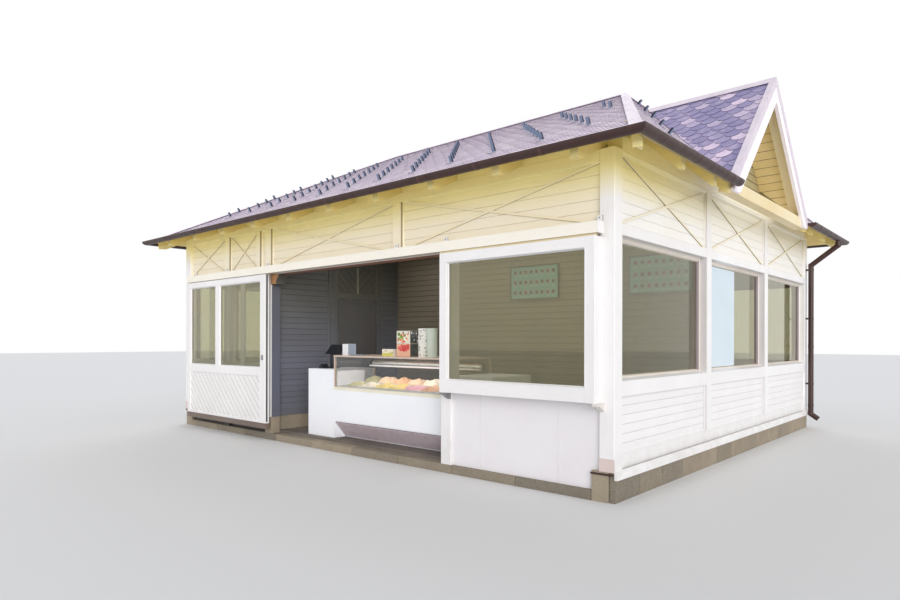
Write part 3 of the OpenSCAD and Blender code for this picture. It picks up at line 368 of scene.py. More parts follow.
# The glass tints stand in for reflected greenery: painted reflection
def glass(name, colour, painted_reflection_tint=(1, 1, 1), ior=1.45):
    look = Look(name)
    smears = look.noise(3, 5, roughness=0.6)
    tone = look.fade(colour, SMEARED_GLASS, smears, 0.4, 0.8, 0.3)
    rough = look.spread(smears, 0.4, 0.8, 0.01, 0.04)
    look.finish(tone, rough, Transmission_Weight=1.0, IOR=ior, Specular_Tint=painted_reflection_tint)


def smooth(name, colour, shade, roughness=0.35):
    """Laminate, lacquer or plastic with faint smears and fine texture."""
    look = Look(name)
    smears = look.noise(2, 5, roughness=0.6)
    rough = look.spread(smears, 0.3, 0.7, roughness, roughness + 0.15)
    look.finish(look.fade(colour, shade, smears, 0.4, 0.75, 0.6), rough, look.noise(140, 2), 0.0003)


def printed(name, roughness=0.4, glow=0.0, mottle=0.15, grains=120):
    """Takes its colours from the mesh, for printed card, screens and ice cream."""
    look = Look(name)
    flecks = look.noise(grains, 4, roughness=0.7)
    tone = look.fade(look.attribute("paint", "Color"), (0.98, 0.97, 0.95), flecks, 0.42, 0.72, mottle)
    tone = look.fade(tone, (0.2, 0.15, 0.12), flecks, 0.5, 0.2, mottle)
    light = {"Emission_Color": tone, "Emission_Strength": glow} if glow else {}
    look.finish(tone, look.spread(flecks, 0.3, 0.7, roughness, roughness + 0.1), flecks, 0.001, **light)


# Shapes

def crosswise(along):
    """Two directions across a third one."""
    side = along.cross(Z if abs(along.z) < 0.9 else X).normalized()
    return side, along.cross(side)


def chamfered(w, t, c):
    """The outline of a bar w by t whose four corners are cut by c."""
    if c == 0:
        return [(0, 0), (w, 0), (w, t), (0, t)]
    return [(c, 0), (w - c, 0), (w, c), (w, t - c), (w - c, t), (c, t), (0, t - c), (0, c)]


class Solids:
    """One piece of closed solids, each with its own tint and grain. It may stand for CAD nodes.

    Solids.made lists the pieces, which are all built at the end.
    """

    made = []

    def __init__(self, name, seed, look, slot, *stands_for, body="hut", smooth=False):
        self.name = name
        self.random = random.Random(seed)
        self.look = look
        self.slot = slot
        self.stands_for = stands_for
        self.body = body
        self.smooth = smooth
        self.points = []
        self.grains = []
        self.faces = []
        self.tints = []
        self.edges = []
        self.paints = []
        self.paint = (1, 1, 1)
        Solids.made.append(self)

    def loft(self, rings, along=X, tint=None, edge=(0, 0)):
        """A closed solid through rings of equally many points. edge says if its ends and sides are dark."""
        first = len(self.points)
        size = len(rings[0])
        shade = self.random.random() if tint is None else tint
        shift = Vector([self.random.uniform(0, 60) for _ in range(3)])
        side, out = crosswise(along)
        for ring in rings:
            for point in ring:
                self.points.append(point)
                self.grains.append(shift + Vector((point.dot(along), point.dot(side), point.dot(out))))
        last = first + size * (len(rings) - 1)
        made = [tuple(range(first + size - 1, first - 1, -1)), tuple(range(last, last + size))]
        for base in range(first, last, size):
            for i in range(size):
                j = (i + 1) % size
                made.append((base + i, base + j, base + size + j, base + size + i))
        self.faces += made
        self.tints += [shade] * len(made)
        self.paints += [self.paint] * len(made)
        self.edges += [edge[0]] * 2 + [edge[1]] * (len(made) - 2)

    def prism(self, outline, push, along=X, tint=None, edge=(0, 0)):
        """A flat outline pushed along a vector."""
        ring = [Vector(p) for p in outline]
        self.loft([ring, [p + push for p in ring]], along, tint, edge)

    def run(self, profile, start, end, side, out, tint=None, cut=(0, 0)):
        """A profile of (side, out) points carried from start to end; cut slants the ends across the side."""
        start = Vector(start)
        end = Vector(end)
        along = (end - start).normalized()
        rings = [[place + side * s + out * o + along * (slant * s) for s, o in profile]
                 for place, slant in ((start, cut[0]), (end, cut[1]))]
        self.loft(rings, along, tint)

    def rod(self, start, end, radius, sides=12, end_radius=None):
        """A round bar, or a cone where its end has another radius."""
        start = Vector(start)
        end = Vector(end)
        along = (end - start).normalized()
        side, out = crosswise(along)
        turns = [2 * math.pi * i / sides for i in range(sides)]
        rings = [[place + side * (r * math.cos(a)) + out * (r * math.sin(a)) for a in turns]
                 for place, r in ((start, radius), (end, radius if end_radius is None else end_radius))]
        self.loft(rings, along)

    def block(self, low, high, along=X, chamfer=0.0, tint=None):
        """A box whose long edges are chamfered."""
        start = Vector(low)
        size = Vector(high) - start
        side = Y if abs(along.x) > 0.5 else X
        out = Z if abs(along.z) < 0.5 else Y
        profile = chamfered(size.dot(side), size.dot(out), chamfer)
        self.run(profile, start, start + along * size.dot(along), side, out, tint)

    def build(self):
        mesh = bpy.data.meshes.new(self.name)
        mesh.from_pydata(self.points, [], self.faces)
        grain = [c for point in self.grains for c in point]
        layers = [("tint", "FLOAT", "FACE", "value", self.tints),
                  ("edge", "FLOAT", "FACE", "value", self.edges),
                  ("grain", "FLOAT_VECTOR", "POINT", "vector", grain)]
        if len(set(self.paints)) > 1:
            colours = [c for paint in self.paints for c in (*linear(paint), 1)]
            layers.append(("paint", "FLOAT_COLOR", "FACE", "color", colours))
        for name, kind, domain, field, values in layers:
            mesh.attributes.new(name, kind, domain).data.foreach_set(field, values)
        mesh.materials.append(LOOKS[self.look])
        mesh.validate()
        work = bmesh.new()
        work.from_mesh(mesh)
        bmesh.ops.recalc_face_normals(work, faces=work.faces)
        work.to_mesh(mesh)
        work.free()
        if self.smooth:
            mesh.polygons.foreach_set("use_smooth", [True] * len(mesh.polygons))
        piece = add(self.name, mesh)
        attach(piece, self.body)
        if self.stands_for:
            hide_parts(*self.stands_for)


def edges(outline):
    """Each corner of an outline with the next one."""
    return list(zip(outline, outline[1:] + outline[:1]))


def left_of(a, b, p):
    """How far a point lies to the left of a line from a to b, times the line's length."""
    return (b[0] - a[0]) * (p[1] - a[1]) - (b[1] - a[1]) * (p[0] - a[0])


def inside(p, outline, margin):
    return all(left_of(a, b, p) / math.dist(a, b) >= margin for a, b in edges(outline))


def area(outline):
    return sum(p[0] * q[1] - q[0] * p[1] for p, q in edges(outline)) / 2


def clip(outline, around, least):
    """The part of an outline inside a convex one, or nothing if that is too small. Both go round left."""
    for a, b in edges(around):
        kept = []
        for p, q in edges(outline):
            side_p = left_of(a, b, p)
            side_q = left_of(a, b, q)
            if side_p >= 0:
                kept.append(p)
            if (side_p > 0) != (side_q > 0) and abs(side_p - side_q) > 1e-12:
                share = side_p / (side_p - side_q)
                kept.append((p[0] + (q[0] - p[0]) * share, p[1] + (q[1] - p[1]) * share))
        outline = kept
        if len(outline) < 3:
            return []
    return outline if area(outline) >= least else []


def rectangle(u, v):
    return [(u[0], v[0]), (u[1], v[0]), (u[1], v[1]), (u[0], v[1])]


LEAST_BOARD = 0.0002


def border(solids, u, v, place, across, up, profile):
    """A moulding with mitred corners inside a rectangle; its profile gives (inward, outward) points."""
    out = across.cross(up)
    for a, b in edges([place + across * c[0] + up * c[1] for c in rectangle(u, v)]):
        solids.run(profile, a, b, out.cross((b - a).normalized()), out, cut=(1, -1))


def lay_boards(solids, outline, place, across, up, pitch, thickness, groove=0.004, turn=0.0, gap=0.0012):
    """Grooved boards that fill a convex outline of (across, up) points, with their backs on its plane."""
    c = math.cos(turn)
    s = math.sin(turn)
    along = across * c + up * s
    over = up * c - across * s
    out = across.cross(up)
    turned = [(p[0] * c + p[1] * s, p[1] * c - p[0] * s) for p in outline]
    low = min(p[1] for p in turned)
    high = max(p[1] for p in turned)
    reach = (min(p[0] for p in turned) - 1, max(p[0] for p in turned) + 1)
    count = max(1, round((high - low) / pitch))
    step = (high - low) / count
    for k in range(count):
        foot = low + k * step
        head = foot + step - gap
        cut = clip(rectangle(reach, (foot, head)), turned, LEAST_BOARD)
        if not cut:
            continue
        rings = []
        for rise, inset in ((0, 0), (thickness - groove, 0), (thickness, groove)):
            moved = [(u, v + inset if abs(v - foot) < 1e-6 else v - inset if abs(v - head) < 1e-6 else v)
                     for u, v in cut]
            rings.append([place + along * u + over * v + out * rise for u, v in moved])
        solids.loft(rings, along, edge=(0, 1))


# Places taken from the frame

SEAM = 0.0005
ROOF_T = 0.06
EX, EY, RIDGE_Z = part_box("front_roof")[1].x, -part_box("front_roof")[0].y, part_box("front_roof")[1].z
RIDGE_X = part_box("right_roof")[0].x
GABLE_HALF, GABLE_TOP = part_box("gable_roofs")[1].yz
EAVE_Z = GABLE_TOP - GABLE_HALF
END_SLOPE = (RIDGE_Z - EAVE_Z) / (EX - RIDGE_X)
VALLEY_X = EX - (GABLE_TOP - EAVE_Z) / END_SLOPE
HW, HD, FRONT_PLATE_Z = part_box("corner_posts")[1]
POST = 0.165
PANEL_IN = 0.04
BOARD_T = 0.018
WALL_X = HW - POST
WALL_Y = HD - POST
PLINTH_W = 0.25
LEDGE_X = HW - PLINTH_W
PLINTH_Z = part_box("plinth")[1].z
KERB_Z = 0.105
FRONT_FOOT_Z = KERB_Z + 0.1
FLOOR_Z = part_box("floor_slab")[1].z
FOOT_RAIL_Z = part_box("wall_panels")[0].z
SILL_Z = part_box("wall_panels")[1].z
SILL_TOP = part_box("window_frames")[0].z
HEAD_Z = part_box("window_frames")[1].z
HEAD_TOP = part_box("friezes")[0].z
FRONT_FRIEZE_Z = FRONT_PLATE_Z - 0.118
SIDE_PLATE_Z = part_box("wall_plates")[1].z
SIDE_FRIEZE_Z = SIDE_PLATE_Z - 0.176
TOP_RAIL_H = 0.042
OPENING_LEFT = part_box("corbel")[0].x
OPENING_RIGHT = HW - 2.3
STUD = (-HW + 1.4425, -HW + 1.6075)
JAMB = (OPENING_LEFT - POST, OPENING_LEFT)
END_POST = (OPENING_RIGHT, OPENING_RIGHT + POST)
SLIM_POST = (OPENING_LEFT - 0.441, OPENING_LEFT - 0.321)
MID_POST = ((OPENING_LEFT + WALL_X - POST) / 2, (OPENING_LEFT + WALL_X + POST) / 2)
STORE_BAYS = [(-WALL_X, STUD[0]), (STUD[1], JAMB[0])]
FRIEZE_POSTS = [STUD, SLIM_POST, JAMB, MID_POST]
RAFTER_W = 0.09
RAFTER_H = 0.134
FRONT_RAFTERS = [-WALL_X + k * (2 * WALL_X - RAFTER_W) / 9 for k in range(10)]
SIDE_RAFTERS = (1.78, 2.223, 3.13, WALL_Y - RAFTER_W / 2)
WHOLE = (0, POST)
PANEL = (PANEL_IN, POST)
BACKING = (PANEL_IN + BOARD_T, POST)
SIDE_PITCH = 0.095
SIDE_FRIEZE = {"top": SIDE_FRIEZE_Z, "rail": TOP_RAIL_H, "plate": SIDE_PLATE_Z, "pitch": 0.117}
FRONT_FRIEZE = {"top": FRONT_FRIEZE_Z, "rail": 0, "plate": FRONT_PLATE_Z, "pitch": 0.1226}


def between(faces):
    """The gaps between posts, from a list of all their faces."""
    return list(zip(faces[::2], faces[1::2]))


class Wall:
    """One side of a wall. u runs to the right along its face, and depth is measured behind that face."""

    def __init__(self, across, face, bays=(), posts=(), frieze=None):
        self.across = across
        self.out = across.cross(Z)
        self.face = face
        self.bays = bays
        self.posts = posts
        self.frieze = frieze
        self.half = WALL_X if abs(across.x) > 0.5 else WALL_Y

    def point(self, u, depth, z):
        return self.across * u + self.out * (self.face - depth) + Z * z

    def bar(self, solids, u, depth, z, upright=False, chamfer=0.004, tint=None):
        ends = list(zip(self.point(u[0], depth[0], z[0]), self.point(u[1], depth[1], z[1])))
        along = Z if upright else Vector([abs(c) for c in self.across])
        solids.block([min(p) for p in ends], [max(p) for p in ends], along, chamfer, tint)

    def bars(self, solids, rows, upright=False, chamfer=0.004):
        for u, depth, z in rows:
            self.bar(solids, u, depth, z, upright, chamfer)

    def boards(self, solids, u, z, depth, thickness, pitch, turn=0.0):
        place = self.point(0, depth + thickness, 0)
        lay_boards(solids, rectangle(u, z), place, self.across, Z, pitch, thickness, turn=turn)

    def bead(self, solids, u, z, depth, profile):
        border(solids, u, z, self.point(0, depth, 0), self.across, Z, profile)


def even_wall(across, half, frieze):
    """A wall with three equal bays, whose posts stand on whole millimetres."""
    step = (2 * half - POST) / 3
    middles = [-half + POST / 2 + round(1000 * k * step) / 1000 for k in (1, 2)]
    posts = [(m - POST / 2, m + POST / 2) for m in middles]
    face = HW if half == HD else HD
    return Wall(across, face, between([-half + POST, *posts[0], *posts[1], half - POST]), posts, frieze)


RIGHT_WALL = even_wall(Y, HD, SIDE_FRIEZE)
LEFT_WALL = even_wall(-Y, HD, SIDE_FRIEZE)
BACK_WALL = even_wall(-X, HW, FRONT_FRIEZE)
FRONT_WALL = Wall(X, HD, STORE_BAYS, (), FRONT_FRIEZE)
SIDE_BAYS = [(wall, bay) for wall in (RIGHT_WALL, LEFT_WALL) for bay in wall.bays]
EVEN_BAYS = SIDE_BAYS + [(BACK_WALL, bay) for bay in BACK_WALL.bays]
WINDOW_BAYS = EVEN_BAYS + [(FRONT_WALL, bay) for bay in STORE_BAYS]
FRIEZE_EDGES = [-WALL_X, *(face for post in FRIEZE_POSTS for face in post), WALL_X]
FRIEZE_BAYS = EVEN_BAYS + [(FRONT_WALL, bay) for bay in between(FRIEZE_EDGES)]


# Roof

TILE_W = 0.215
TILE_GAP = 0.003
TILE_SHOWN = 0.122
TILE_L = 0.28
TILE_T = 0.0055
TILE_STEPS = 8
TILE_DROP = 0.008
EAVE_DROP = 0.012
LEAST_TILE = 0.0006
GABLE_ARC = 0.095
MAIN_ARC = 0.05
DECK_T = 0.03
DECK_W = 0.14
LEAST_DECK = 0.001
GABLE_DECK_GAP = 0.007
MAIN_DECK_GAP = 0.002


class Slope:
    """A roof slope with u along its eave, v up the slope and w out of it."""

    def __init__(self, plan, eave, u, v):
        self.origin = Vector(eave)
        self.u = u
        self.v = v.normalized()
        self.w = u.cross(self.v)
        self.outline = []
        for x, y in plan:
            z = self.origin.z - (self.w.x * (x - self.origin.x) + self.w.y * (y - self.origin.y)) / self.w.z
            away = Vector((x, y, z)) - self.origin
            self.outline.append((away.dot(self.u), away.dot(self.v)))
        if area(self.outline) < 0:
            self.outline.reverse()
        us, vs = zip(*self.outline)
        self.reach_u = (min(us), max(us))
        self.reach_v = (min(vs), max(vs))

    def point(self, u, v, w):
        return self.origin + self.u * u + self.v * v + self.w * w

    def lay_tiles(self, solids, arc):
        v0, v1 = self.reach_v
        rise = TILE_T / TILE_SHOWN
        half = TILE_W / 2 - TILE_GAP / 2
        around = [(u, v - EAVE_DROP if v < v0 + 0.001 else v) for u, v in self.outline]
        columns = range(math.floor(self.reach_u[0] / TILE_W) - 1, math.ceil(self.reach_u[1] / TILE_W) + 1)
        for row in range(math.ceil((v1 - v0) / TILE_SHOWN)):
            foot = v0 + row * TILE_SHOWN - TILE_DROP
            for column in columns:
                middle = (column + 0.5 * (row % 2)) * TILE_W + solids.random.uniform(-0.002, 0.002)
                drop = solids.random.uniform(-0.002, 0.002)
                base = -ROOF_T + DECK_T + solids.random.uniform(-0.0008, 0.0003)
                tint = solids.random.random()
                outline = [(middle + half, foot + TILE_L), (middle - half, foot + TILE_L)]
                for k in range(TILE_STEPS + 1):
                    angle = math.pi * (1 - k / TILE_STEPS)
                    rounded = arc * (1 - math.sin(angle))
                    outline.append((middle + half * math.cos(angle), foot + drop + rounded))
                cut = clip(outline, around, LEAST_TILE)
                under = [self.point(u, v, base + rise * (foot + TILE_L - v)) for u, v in cut]
                if under:
                    solids.prism(under, self.w * TILE_T, self.v, tint, (0, 1))

    def lay_deck(self, solids, gap):
        """Level boards under the tiles, which show from below as the soffit."""
        v0, v1 = self.reach_v
        for k in range(math.ceil((v1 - v0) / DECK_W)):
            strip = rectangle(self.reach_u, (v0 + k * DECK_W, v0 + (k + 1) * DECK_W - gap))
            cut = [self.point(u, v, -ROOF_T) for u, v in clip(strip, self.outline, LEAST_DECK)]
            if cut:
                solids.prism(cut, self.w * DECK_T, self.u, edge=(0, 1))


def make_slopes():
    """The eight slopes by the name of the node that they belong to."""
    rise = RIDGE_Z - EAVE_Z
    slopes = {name: [] for name in ("front_roof", "back_roof", "right_roof", "left_roof", "gable_roofs")}
    for name, s in (("front_roof", 1), ("back_roof", -1)):
        plan = [(-EX, -EY * s), (EX, -EY * s), (RIDGE_X, 0), (-RIDGE_X, 0)]
        slopes[name].append(Slope(plan, (0, -EY * s, EAVE_Z), X * s, Vector((0, EY * s, rise))))
    for name, s in (("right_roof", 1), ("left_roof", -1)):
        inward = Vector(((RIDGE_X - EX) * s, 0, rise))
        for side in (-1, 1):
            plan = [(EX * s, EY * side), (EX * s, GABLE_HALF * side), (VALLEY_X * s, 0), (RIDGE_X * s, 0)]
            slopes[name].append(Slope(plan, (EX * s, 0, EAVE_Z), Y * s, inward))
            plan = [(EX * s, GABLE_HALF * side), (EX * s, 0), (VALLEY_X * s, 0)]
            up = Vector((0, -side, 1))
            slopes["gable_roofs"].append(Slope(plan, (0, GABLE_HALF * side, EAVE_Z), X * -side, up))
    return slopes


SLOPES = make_slopes()


# The gable slopes get a darker, bluer copy of the tiles: painted shade
TILE_LOOKS = {"front_roof": "main_tiles", "back_roof": "main_tiles", "gable_roofs": "gable_tiles"}


def make_roof():
    for name, group in SLOPES.items():
        gable = name == "gable_roofs"
        part = name.rstrip("s").replace("roof", "")
        covering = Solids(part + "tiles", len(name), TILE_LOOKS.get(name, "end_tiles"), "scale_tiles", name)
        deck = Solids(part + "deck", 7, "gable_soffit" if gable else "soffit_boards", "cream_timber", name)
        for slope in group:
            slope.lay_tiles(covering, GABLE_ARC if gable else MAIN_ARC)
            slope.lay_deck(deck, GABLE_DECK_GAP if gable else MAIN_DECK_GAP)


# Timbers and boards

SMALL_BEAD = [(0, 0), (0.016, 0), (0.016, 0.004), (0.011, 0.009), (0.009, 0.014), (0, 0.016)]
SILL_SLOPE = [(0.004, 0), (0.09, 0), (0.09, 0.03), (0.004, 0.006)]
POST_FOOT_Z = (PLINTH_Z, PLINTH_Z + 0.13)


def make_timbers():
    """Posts, rails and plates as separate timbers with planed edges."""
    corner = Solids("corner_timbers", 3, "white_timber", "white_timber", "corner_posts")
    for wall in (RIGHT_WALL, LEFT_WALL):
        for u in ((-HD, -WALL_Y), (WALL_Y, HD)):
            wall.bar(corner, u, WHOLE, (PLINTH_Z, FRONT_PLATE_Z), True, 0.005)
            wall.bar(corner, u, (-0.003, 0), POST_FOOT_Z, True, 0.001)
    feet = Solids("post_feet", 49, "post_feet", "white_timber")
    for u in ((-HW, -WALL_X), (WALL_X, HW)):
        FRONT_WALL.bar(feet, u, (-0.005, 0), POST_FOOT_Z, True, 0.001)

    posts = Solids("post_timbers", 4, "recessed_timber", "white_timber", "wall_posts")
    for wall in (RIGHT_WALL, LEFT_WALL, BACK_WALL):
        for post in wall.posts:
            wall.bar(posts, post, WHOLE, (FOOT_RAIL_Z, wall.frieze["top"]), True, 0.006)
    for post, foot in ((STUD, FRONT_FOOT_Z), (JAMB, FLOOR_Z + 0.225), (END_POST, KERB_Z)):
        FRONT_WALL.bar(posts, post, WHOLE, (foot, HEAD_Z), True, 0.006)
    upper = Solids("frieze_posts", 61, "frieze_posts", "white_timber", "wall_posts")
    for post in FRIEZE_POSTS:
        FRONT_WALL.bar(upper, post, WHOLE, (HEAD_TOP, FRONT_FRIEZE_Z), True, 0.006)

    sills = Solids("sill_timbers", 5, "white_timber", "white_timber", "sill_rails")
    for wall in (RIGHT_WALL, LEFT_WALL, BACK_WALL):
        wall.bar(sills, (-wall.half, wall.half), PANEL, (PLINTH_Z, FOOT_RAIL_Z))
    for wall, bay in WINDOW_BAYS:
        wall.bar(sills, bay, WHOLE, (SILL_Z, SILL_TOP), chamfer=0.006)
        slope = [wall.point(bay[0], depth, SILL_TOP + z) for depth, z in SILL_SLOPE]
        sills.prism(slope, wall.across * (bay[1] - bay[0]), wall.across)

    heads = Solids("head_timbers", 6, "white_timber", "white_timber", "head_rails")
    for wall, bay in EVEN_BAYS:
        wall.bar(heads, bay, WHOLE, (HEAD_Z, HEAD_TOP), chamfer=0.006)
    for wall, bay in SIDE_BAYS:
        wall.bar(heads, bay, WHOLE, (SIDE_FRIEZE_Z - TOP_RAIL_H, SIDE_FRIEZE_Z), chamfer=0.008)
    FRONT_WALL.bar(heads, (-WALL_X, WALL_X), WHOLE, (HEAD_Z, HEAD_TOP), chamfer=0.006)

    plates = Solids("plate_timbers", 7, "plate_timber", "cream_timber", "wall_plates")
    for wall in (FRONT_WALL, BACK_WALL, RIGHT_WALL, LEFT_WALL):
        wall.bar(plates, (-wall.half, wall.half), WHOLE, (wall.frieze["top"], wall.frieze["plate"]))

    closing = Solids("eave_boards", 35, "plate_timber", "cream_timber")
    step = FRONT_RAFTERS[1] - FRONT_RAFTERS[0]
    front = [(left + RAFTER_W + SEAM, left + step - SEAM) for left in FRONT_RAFTERS[:-1]]
    side = []
    for near, far in zip(SIDE_RAFTERS, SIDE_RAFTERS[1:]):
        u = (near + RAFTER_W / 2 + SEAM, far - RAFTER_W / 2 - SEAM)
        side += [u, (-u[1], -u[0])]
    for wall, gaps in ((FRONT_WALL, front), (BACK_WALL, front), (RIGHT_WALL, side), (LEFT_WALL, side)):
        z = (wall.frieze["plate"] + SEAM, wall.frieze["plate"] + RAFTER_H - 0.003)
        wall.bars(closing, [(u, (0.004, 0.022), z) for u in gaps], chamfer=0)


def boarded_bay(solids, beads, wall, u, z, pitch):
    """Level boards in a bay of a wall, on a plain backing and with a bead round them."""
    wall.bar(solids, u, BACKING, z, chamfer=0, tint=0.5)
    wall.boards(solids, u, z, PANEL_IN, BOARD_T, pitch)
    wall.bead(beads, u, z, PANEL_IN, SMALL_BEAD)


def make_boarding():
    panels = Solids("wall_boards", 8, "recessed_timber", "white_timber", "wall_panels")
    beads = Solids("panel_beads", 9, "recessed_timber", "white_timber")
    for wall, bay in EVEN_BAYS:
        boarded_bay(panels, beads, wall, bay, (FOOT_RAIL_Z, SILL_Z), SIDE_PITCH)
    boards = Solids("frieze_boards", 10, "frieze_boards", "cream_timber", "friezes")
    trims = Solids("frieze_beads", 11, "frieze_boards", "cream_timber")
    for wall, bay in FRIEZE_BAYS:
        z = (HEAD_TOP, wall.frieze["top"] - wall.frieze["rail"])
        boarded_bay(boards, trims, wall, bay, z, wall.frieze["pitch"])

    left = (-LEDGE_X, STUD[0])
    right = (STUD[1], JAMB[0])
    foot = Solids("front_foot_boards", 39, "foot_boards", "white_timber", "front_wall_panels")
    rows = [(u, depth, (KERB_Z, FRONT_FOOT_Z)) for u, depth in ((left, PANEL), (STUD, WHOLE), (right, PANEL))]
    FRONT_WALL.bars(foot, rows, chamfer=0.002)
    front = Solids("front_boards", 12, "recessed_timber", "white_timber", "front_wall_panels")
    over = (STORE_BAYS[0], (PLINTH_Z, SILL_Z))
    for fields in (((left, (FRONT_FOOT_Z, PLINTH_Z)), over), ((right, (FRONT_FOOT_Z, SILL_Z)),)):
        FRONT_WALL.bars(front, [(u, BACKING, z) for u, z in fields], chamfer=0)
        for u, z in fields:
            FRONT_WALL.boards(front, u, z, PANEL_IN, BOARD_T, SIDE_PITCH)
    for bay in STORE_BAYS:
        FRONT_WALL.bead(beads, bay, (PLINTH_Z, SILL_Z), PANEL_IN, SMALL_BEAD)


SHEET_T = 0.012
SHEET_JOINTS = (2.733, 3.786)
HUNG_LOW, HUNG_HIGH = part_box("hung_window_frame")


def make_sheets():
    """Smooth sheets under the hung window, the last one stepped over the plinth."""
    sheets = Solids("front_sheets", 13, "panel_sheets", "white_timber", "front_wall_panels")
    start = END_POST[1]
    first, second = SHEET_JOINTS
    face = (PANEL_IN, PANEL_IN + SHEET_T)
    behind = (PANEL_IN + SHEET_T, POST)
    full = (KERB_Z, HUNG_LOW.z)
    over = (PLINTH_Z, HUNG_LOW.z)
    FRONT_WALL.bars(sheets, [((start, LEDGE_X), behind, full), ((LEDGE_X, WALL_X), behind, over)], chamfer=0)
    rows = (((start, first - 0.003), full), ((first, second - 0.003), full),
            ((second, LEDGE_X), (KERB_Z, PLINTH_Z)), ((second, WALL_X), over))
    FRONT_WALL.bars(sheets, [(u, face, z) for u, z in rows], True, 0.002)


STONE_L = 0.5675
STONE_JOINT = 0.007
END_STONE_W = 0.06
END_STONE_IN = 0.02
KERB_STONES = 9
FLASHING_OUT = 0.012
FLASHING_Z = (PLINTH_Z - 0.034, PLINTH_Z - 0.022, PLINTH_Z - 0.016)


def make_plinth():
    """Sawn blocks along three sides, kerb stones under the front, and flashing on the front ends."""
    blocks = Solids("plinth_stones", 14, "stone_blocks", "stone", "plinth")
    edge = LEDGE_X - SEAM
    for wall, half in ((RIGHT_WALL, HD), (LEFT_WALL, HD), (BACK_WALL, edge)):
        start = -half
        while start < half - 0.01:
            end = min(start + STONE_L, half)
            u = (start, end - STONE_JOINT) if wall.across.y >= 0 else (-end + STONE_JOINT, -start)
            deep = PLINTH_W
            if half == HD and start == -half:
                deep = END_STONE_W
                wall.bar(blocks, u, (deep + STONE_JOINT, PLINTH_W), (0, PLINTH_Z), tint=0)
                u = (u[0] + END_STONE_IN, u[1]) if wall is RIGHT_WALL else (u[0], u[1] - END_STONE_IN)
            wall.bar(blocks, u, (0, deep), (0, PLINTH_Z))
            start = end
    step = 2 * edge / KERB_STONES
    for k in range(KERB_STONES):
        u = (-edge + k * step, -edge + (k + 1) * step - STONE_JOINT)
        FRONT_WALL.bar(blocks, u, WHOLE, (0, KERB_Z), chamfer=0.006)

    strips = Solids("plinth_flashing", 15, "gutter_brown", "brown_metal")
    for s in (-1, 1):
        u = sorted((s * (LEDGE_X - 0.006), s * (HW - 0.012)))
        FRONT_WALL.bar(strips, u, (-FLASHING_OUT, 0), FLASHING_Z[1:], chamfer=0.001)
        FRONT_WALL.bar(strips, u, (-FLASHING_OUT, -FLASHING_OUT + 0.003), FLASHING_Z[:2], chamfer=0)


SASH_W = 0.058
SASH_T = 0.06
SASH_IN = 0.09
SASH_PROFILE = [(0, 0), (SASH_W, 0), (SASH_W, 0.022), (0.05, 0.024), (0.05, 0.04), (0.042, 0.052),
                (0.034, SASH_T), (0, SASH_T)]
FILM_Y = (-0.871, 0.067)
FILM_IN = 0.0062
FILM_T = 0.001
PANE_T = 0.008
PANE_LAP = 0.006
PANE_BEAD = [(0, 0), (0.016, 0), (0.016, 0.006), (0.006, 0.02), (0, 0.02)]
OUTER_BEAD = [(-0.006, 0), (0.008, 0), (0.008, 0.004), (0, 0.016), (-0.006, 0.016)]
HUNG_T = 0.09
HUNG_STILE = 0.11
HUNG_RAIL = 0.148
HUNG_CHEEK = 0.028


def pane(solids, wall, u, middle, z):
    wall.bar(solids, u, (middle - PANE_T / 2, middle + PANE_T / 2), z, chamfer=0)


def make_windows():
    """Sashes with their panes, a frosted film behind the right wall's middle one, and the hung window."""
    sashes = Solids("window_sashes", 16, "sash_paint", "white_timber", "window_frames")
    for wall, bay in WINDOW_BAYS:
        wall.bead(sashes, bay, (SILL_TOP, HEAD_Z), SASH_IN + SASH_T, SASH_PROFILE)
    film = Solids("window_film", 17, "frosted_film", "counter_white")
    middle = SASH_IN + SASH_T / 2
    depth = middle - FILM_IN
    RIGHT_WALL.bar(film, FILM_Y, (depth, depth + FILM_T), (SILL_TOP + SASH_W, HEAD_Z - SASH_W), chamfer=0)

    z = (HUNG_LOW.z, HUNG_HIGH.z)
    inner = (HUNG_LOW.x + HUNG_STILE, HUNG_HIGH.x - HUNG_STILE)
    pane_z = (z[0] + HUNG_RAIL, z[1] - HUNG_STILE)
    whole = (0, HUNG_T)
    hung = Wall(X, -HUNG_LOW.y)
    members = Solids("hung_window_members", 25, "white_timber", "white_timber", "hung_window_frame")
    hung.bars(members, [((HUNG_LOW.x, inner[0]), whole, z), ((inner[1], HUNG_HIGH.x), whole, z)], True)
    hung.bars(members, [(inner, whole, (z[0], pane_z[0])), (inner, whole, (pane_z[1], z[1]))])
    hung.bar(members, (HUNG_HIGH.x - HUNG_CHEEK, HUNG_HIGH.x), (HUNG_T, -HD - HUNG_LOW.y), z, True, 0.002)
    hung.bead(members, inner, pane_z, HUNG_T / 2 - 0.005, PANE_BEAD)
    hung.bead(members, inner, pane_z, 0.012, OUTER_BEAD)

    panes = Solids("window_panes", 38, "window_glass", "window_glass", "window_glass")
    front = Solids("front_panes", 62, "front_glass", "window_glass", "window_glass")
    pane(front, hung, inner, HUNG_T / 2, pane_z)
    edge = SASH_W - PANE_LAP
    for wall, bay in WINDOW_BAYS:
        into = front if wall is FRONT_WALL else panes
        pane(into, wall, (bay[0] + edge, bay[1] - edge), middle, (SILL_TOP + edge, HEAD_Z - edge))


GABLE_IN = 0.09
GABLE_PITCH = 0.11
GABLE_DROP = 0.085
GABLE_T = 0.05
BARGE_H = 0.25
# Distance below the barge board's top, width and thickness of each moulding on it
BARGE_MOULDINGS = [(BARGE_H / math.sqrt(2) - 0.03, 0.03, 0.014), (0.058, 0.022, 0.008)]


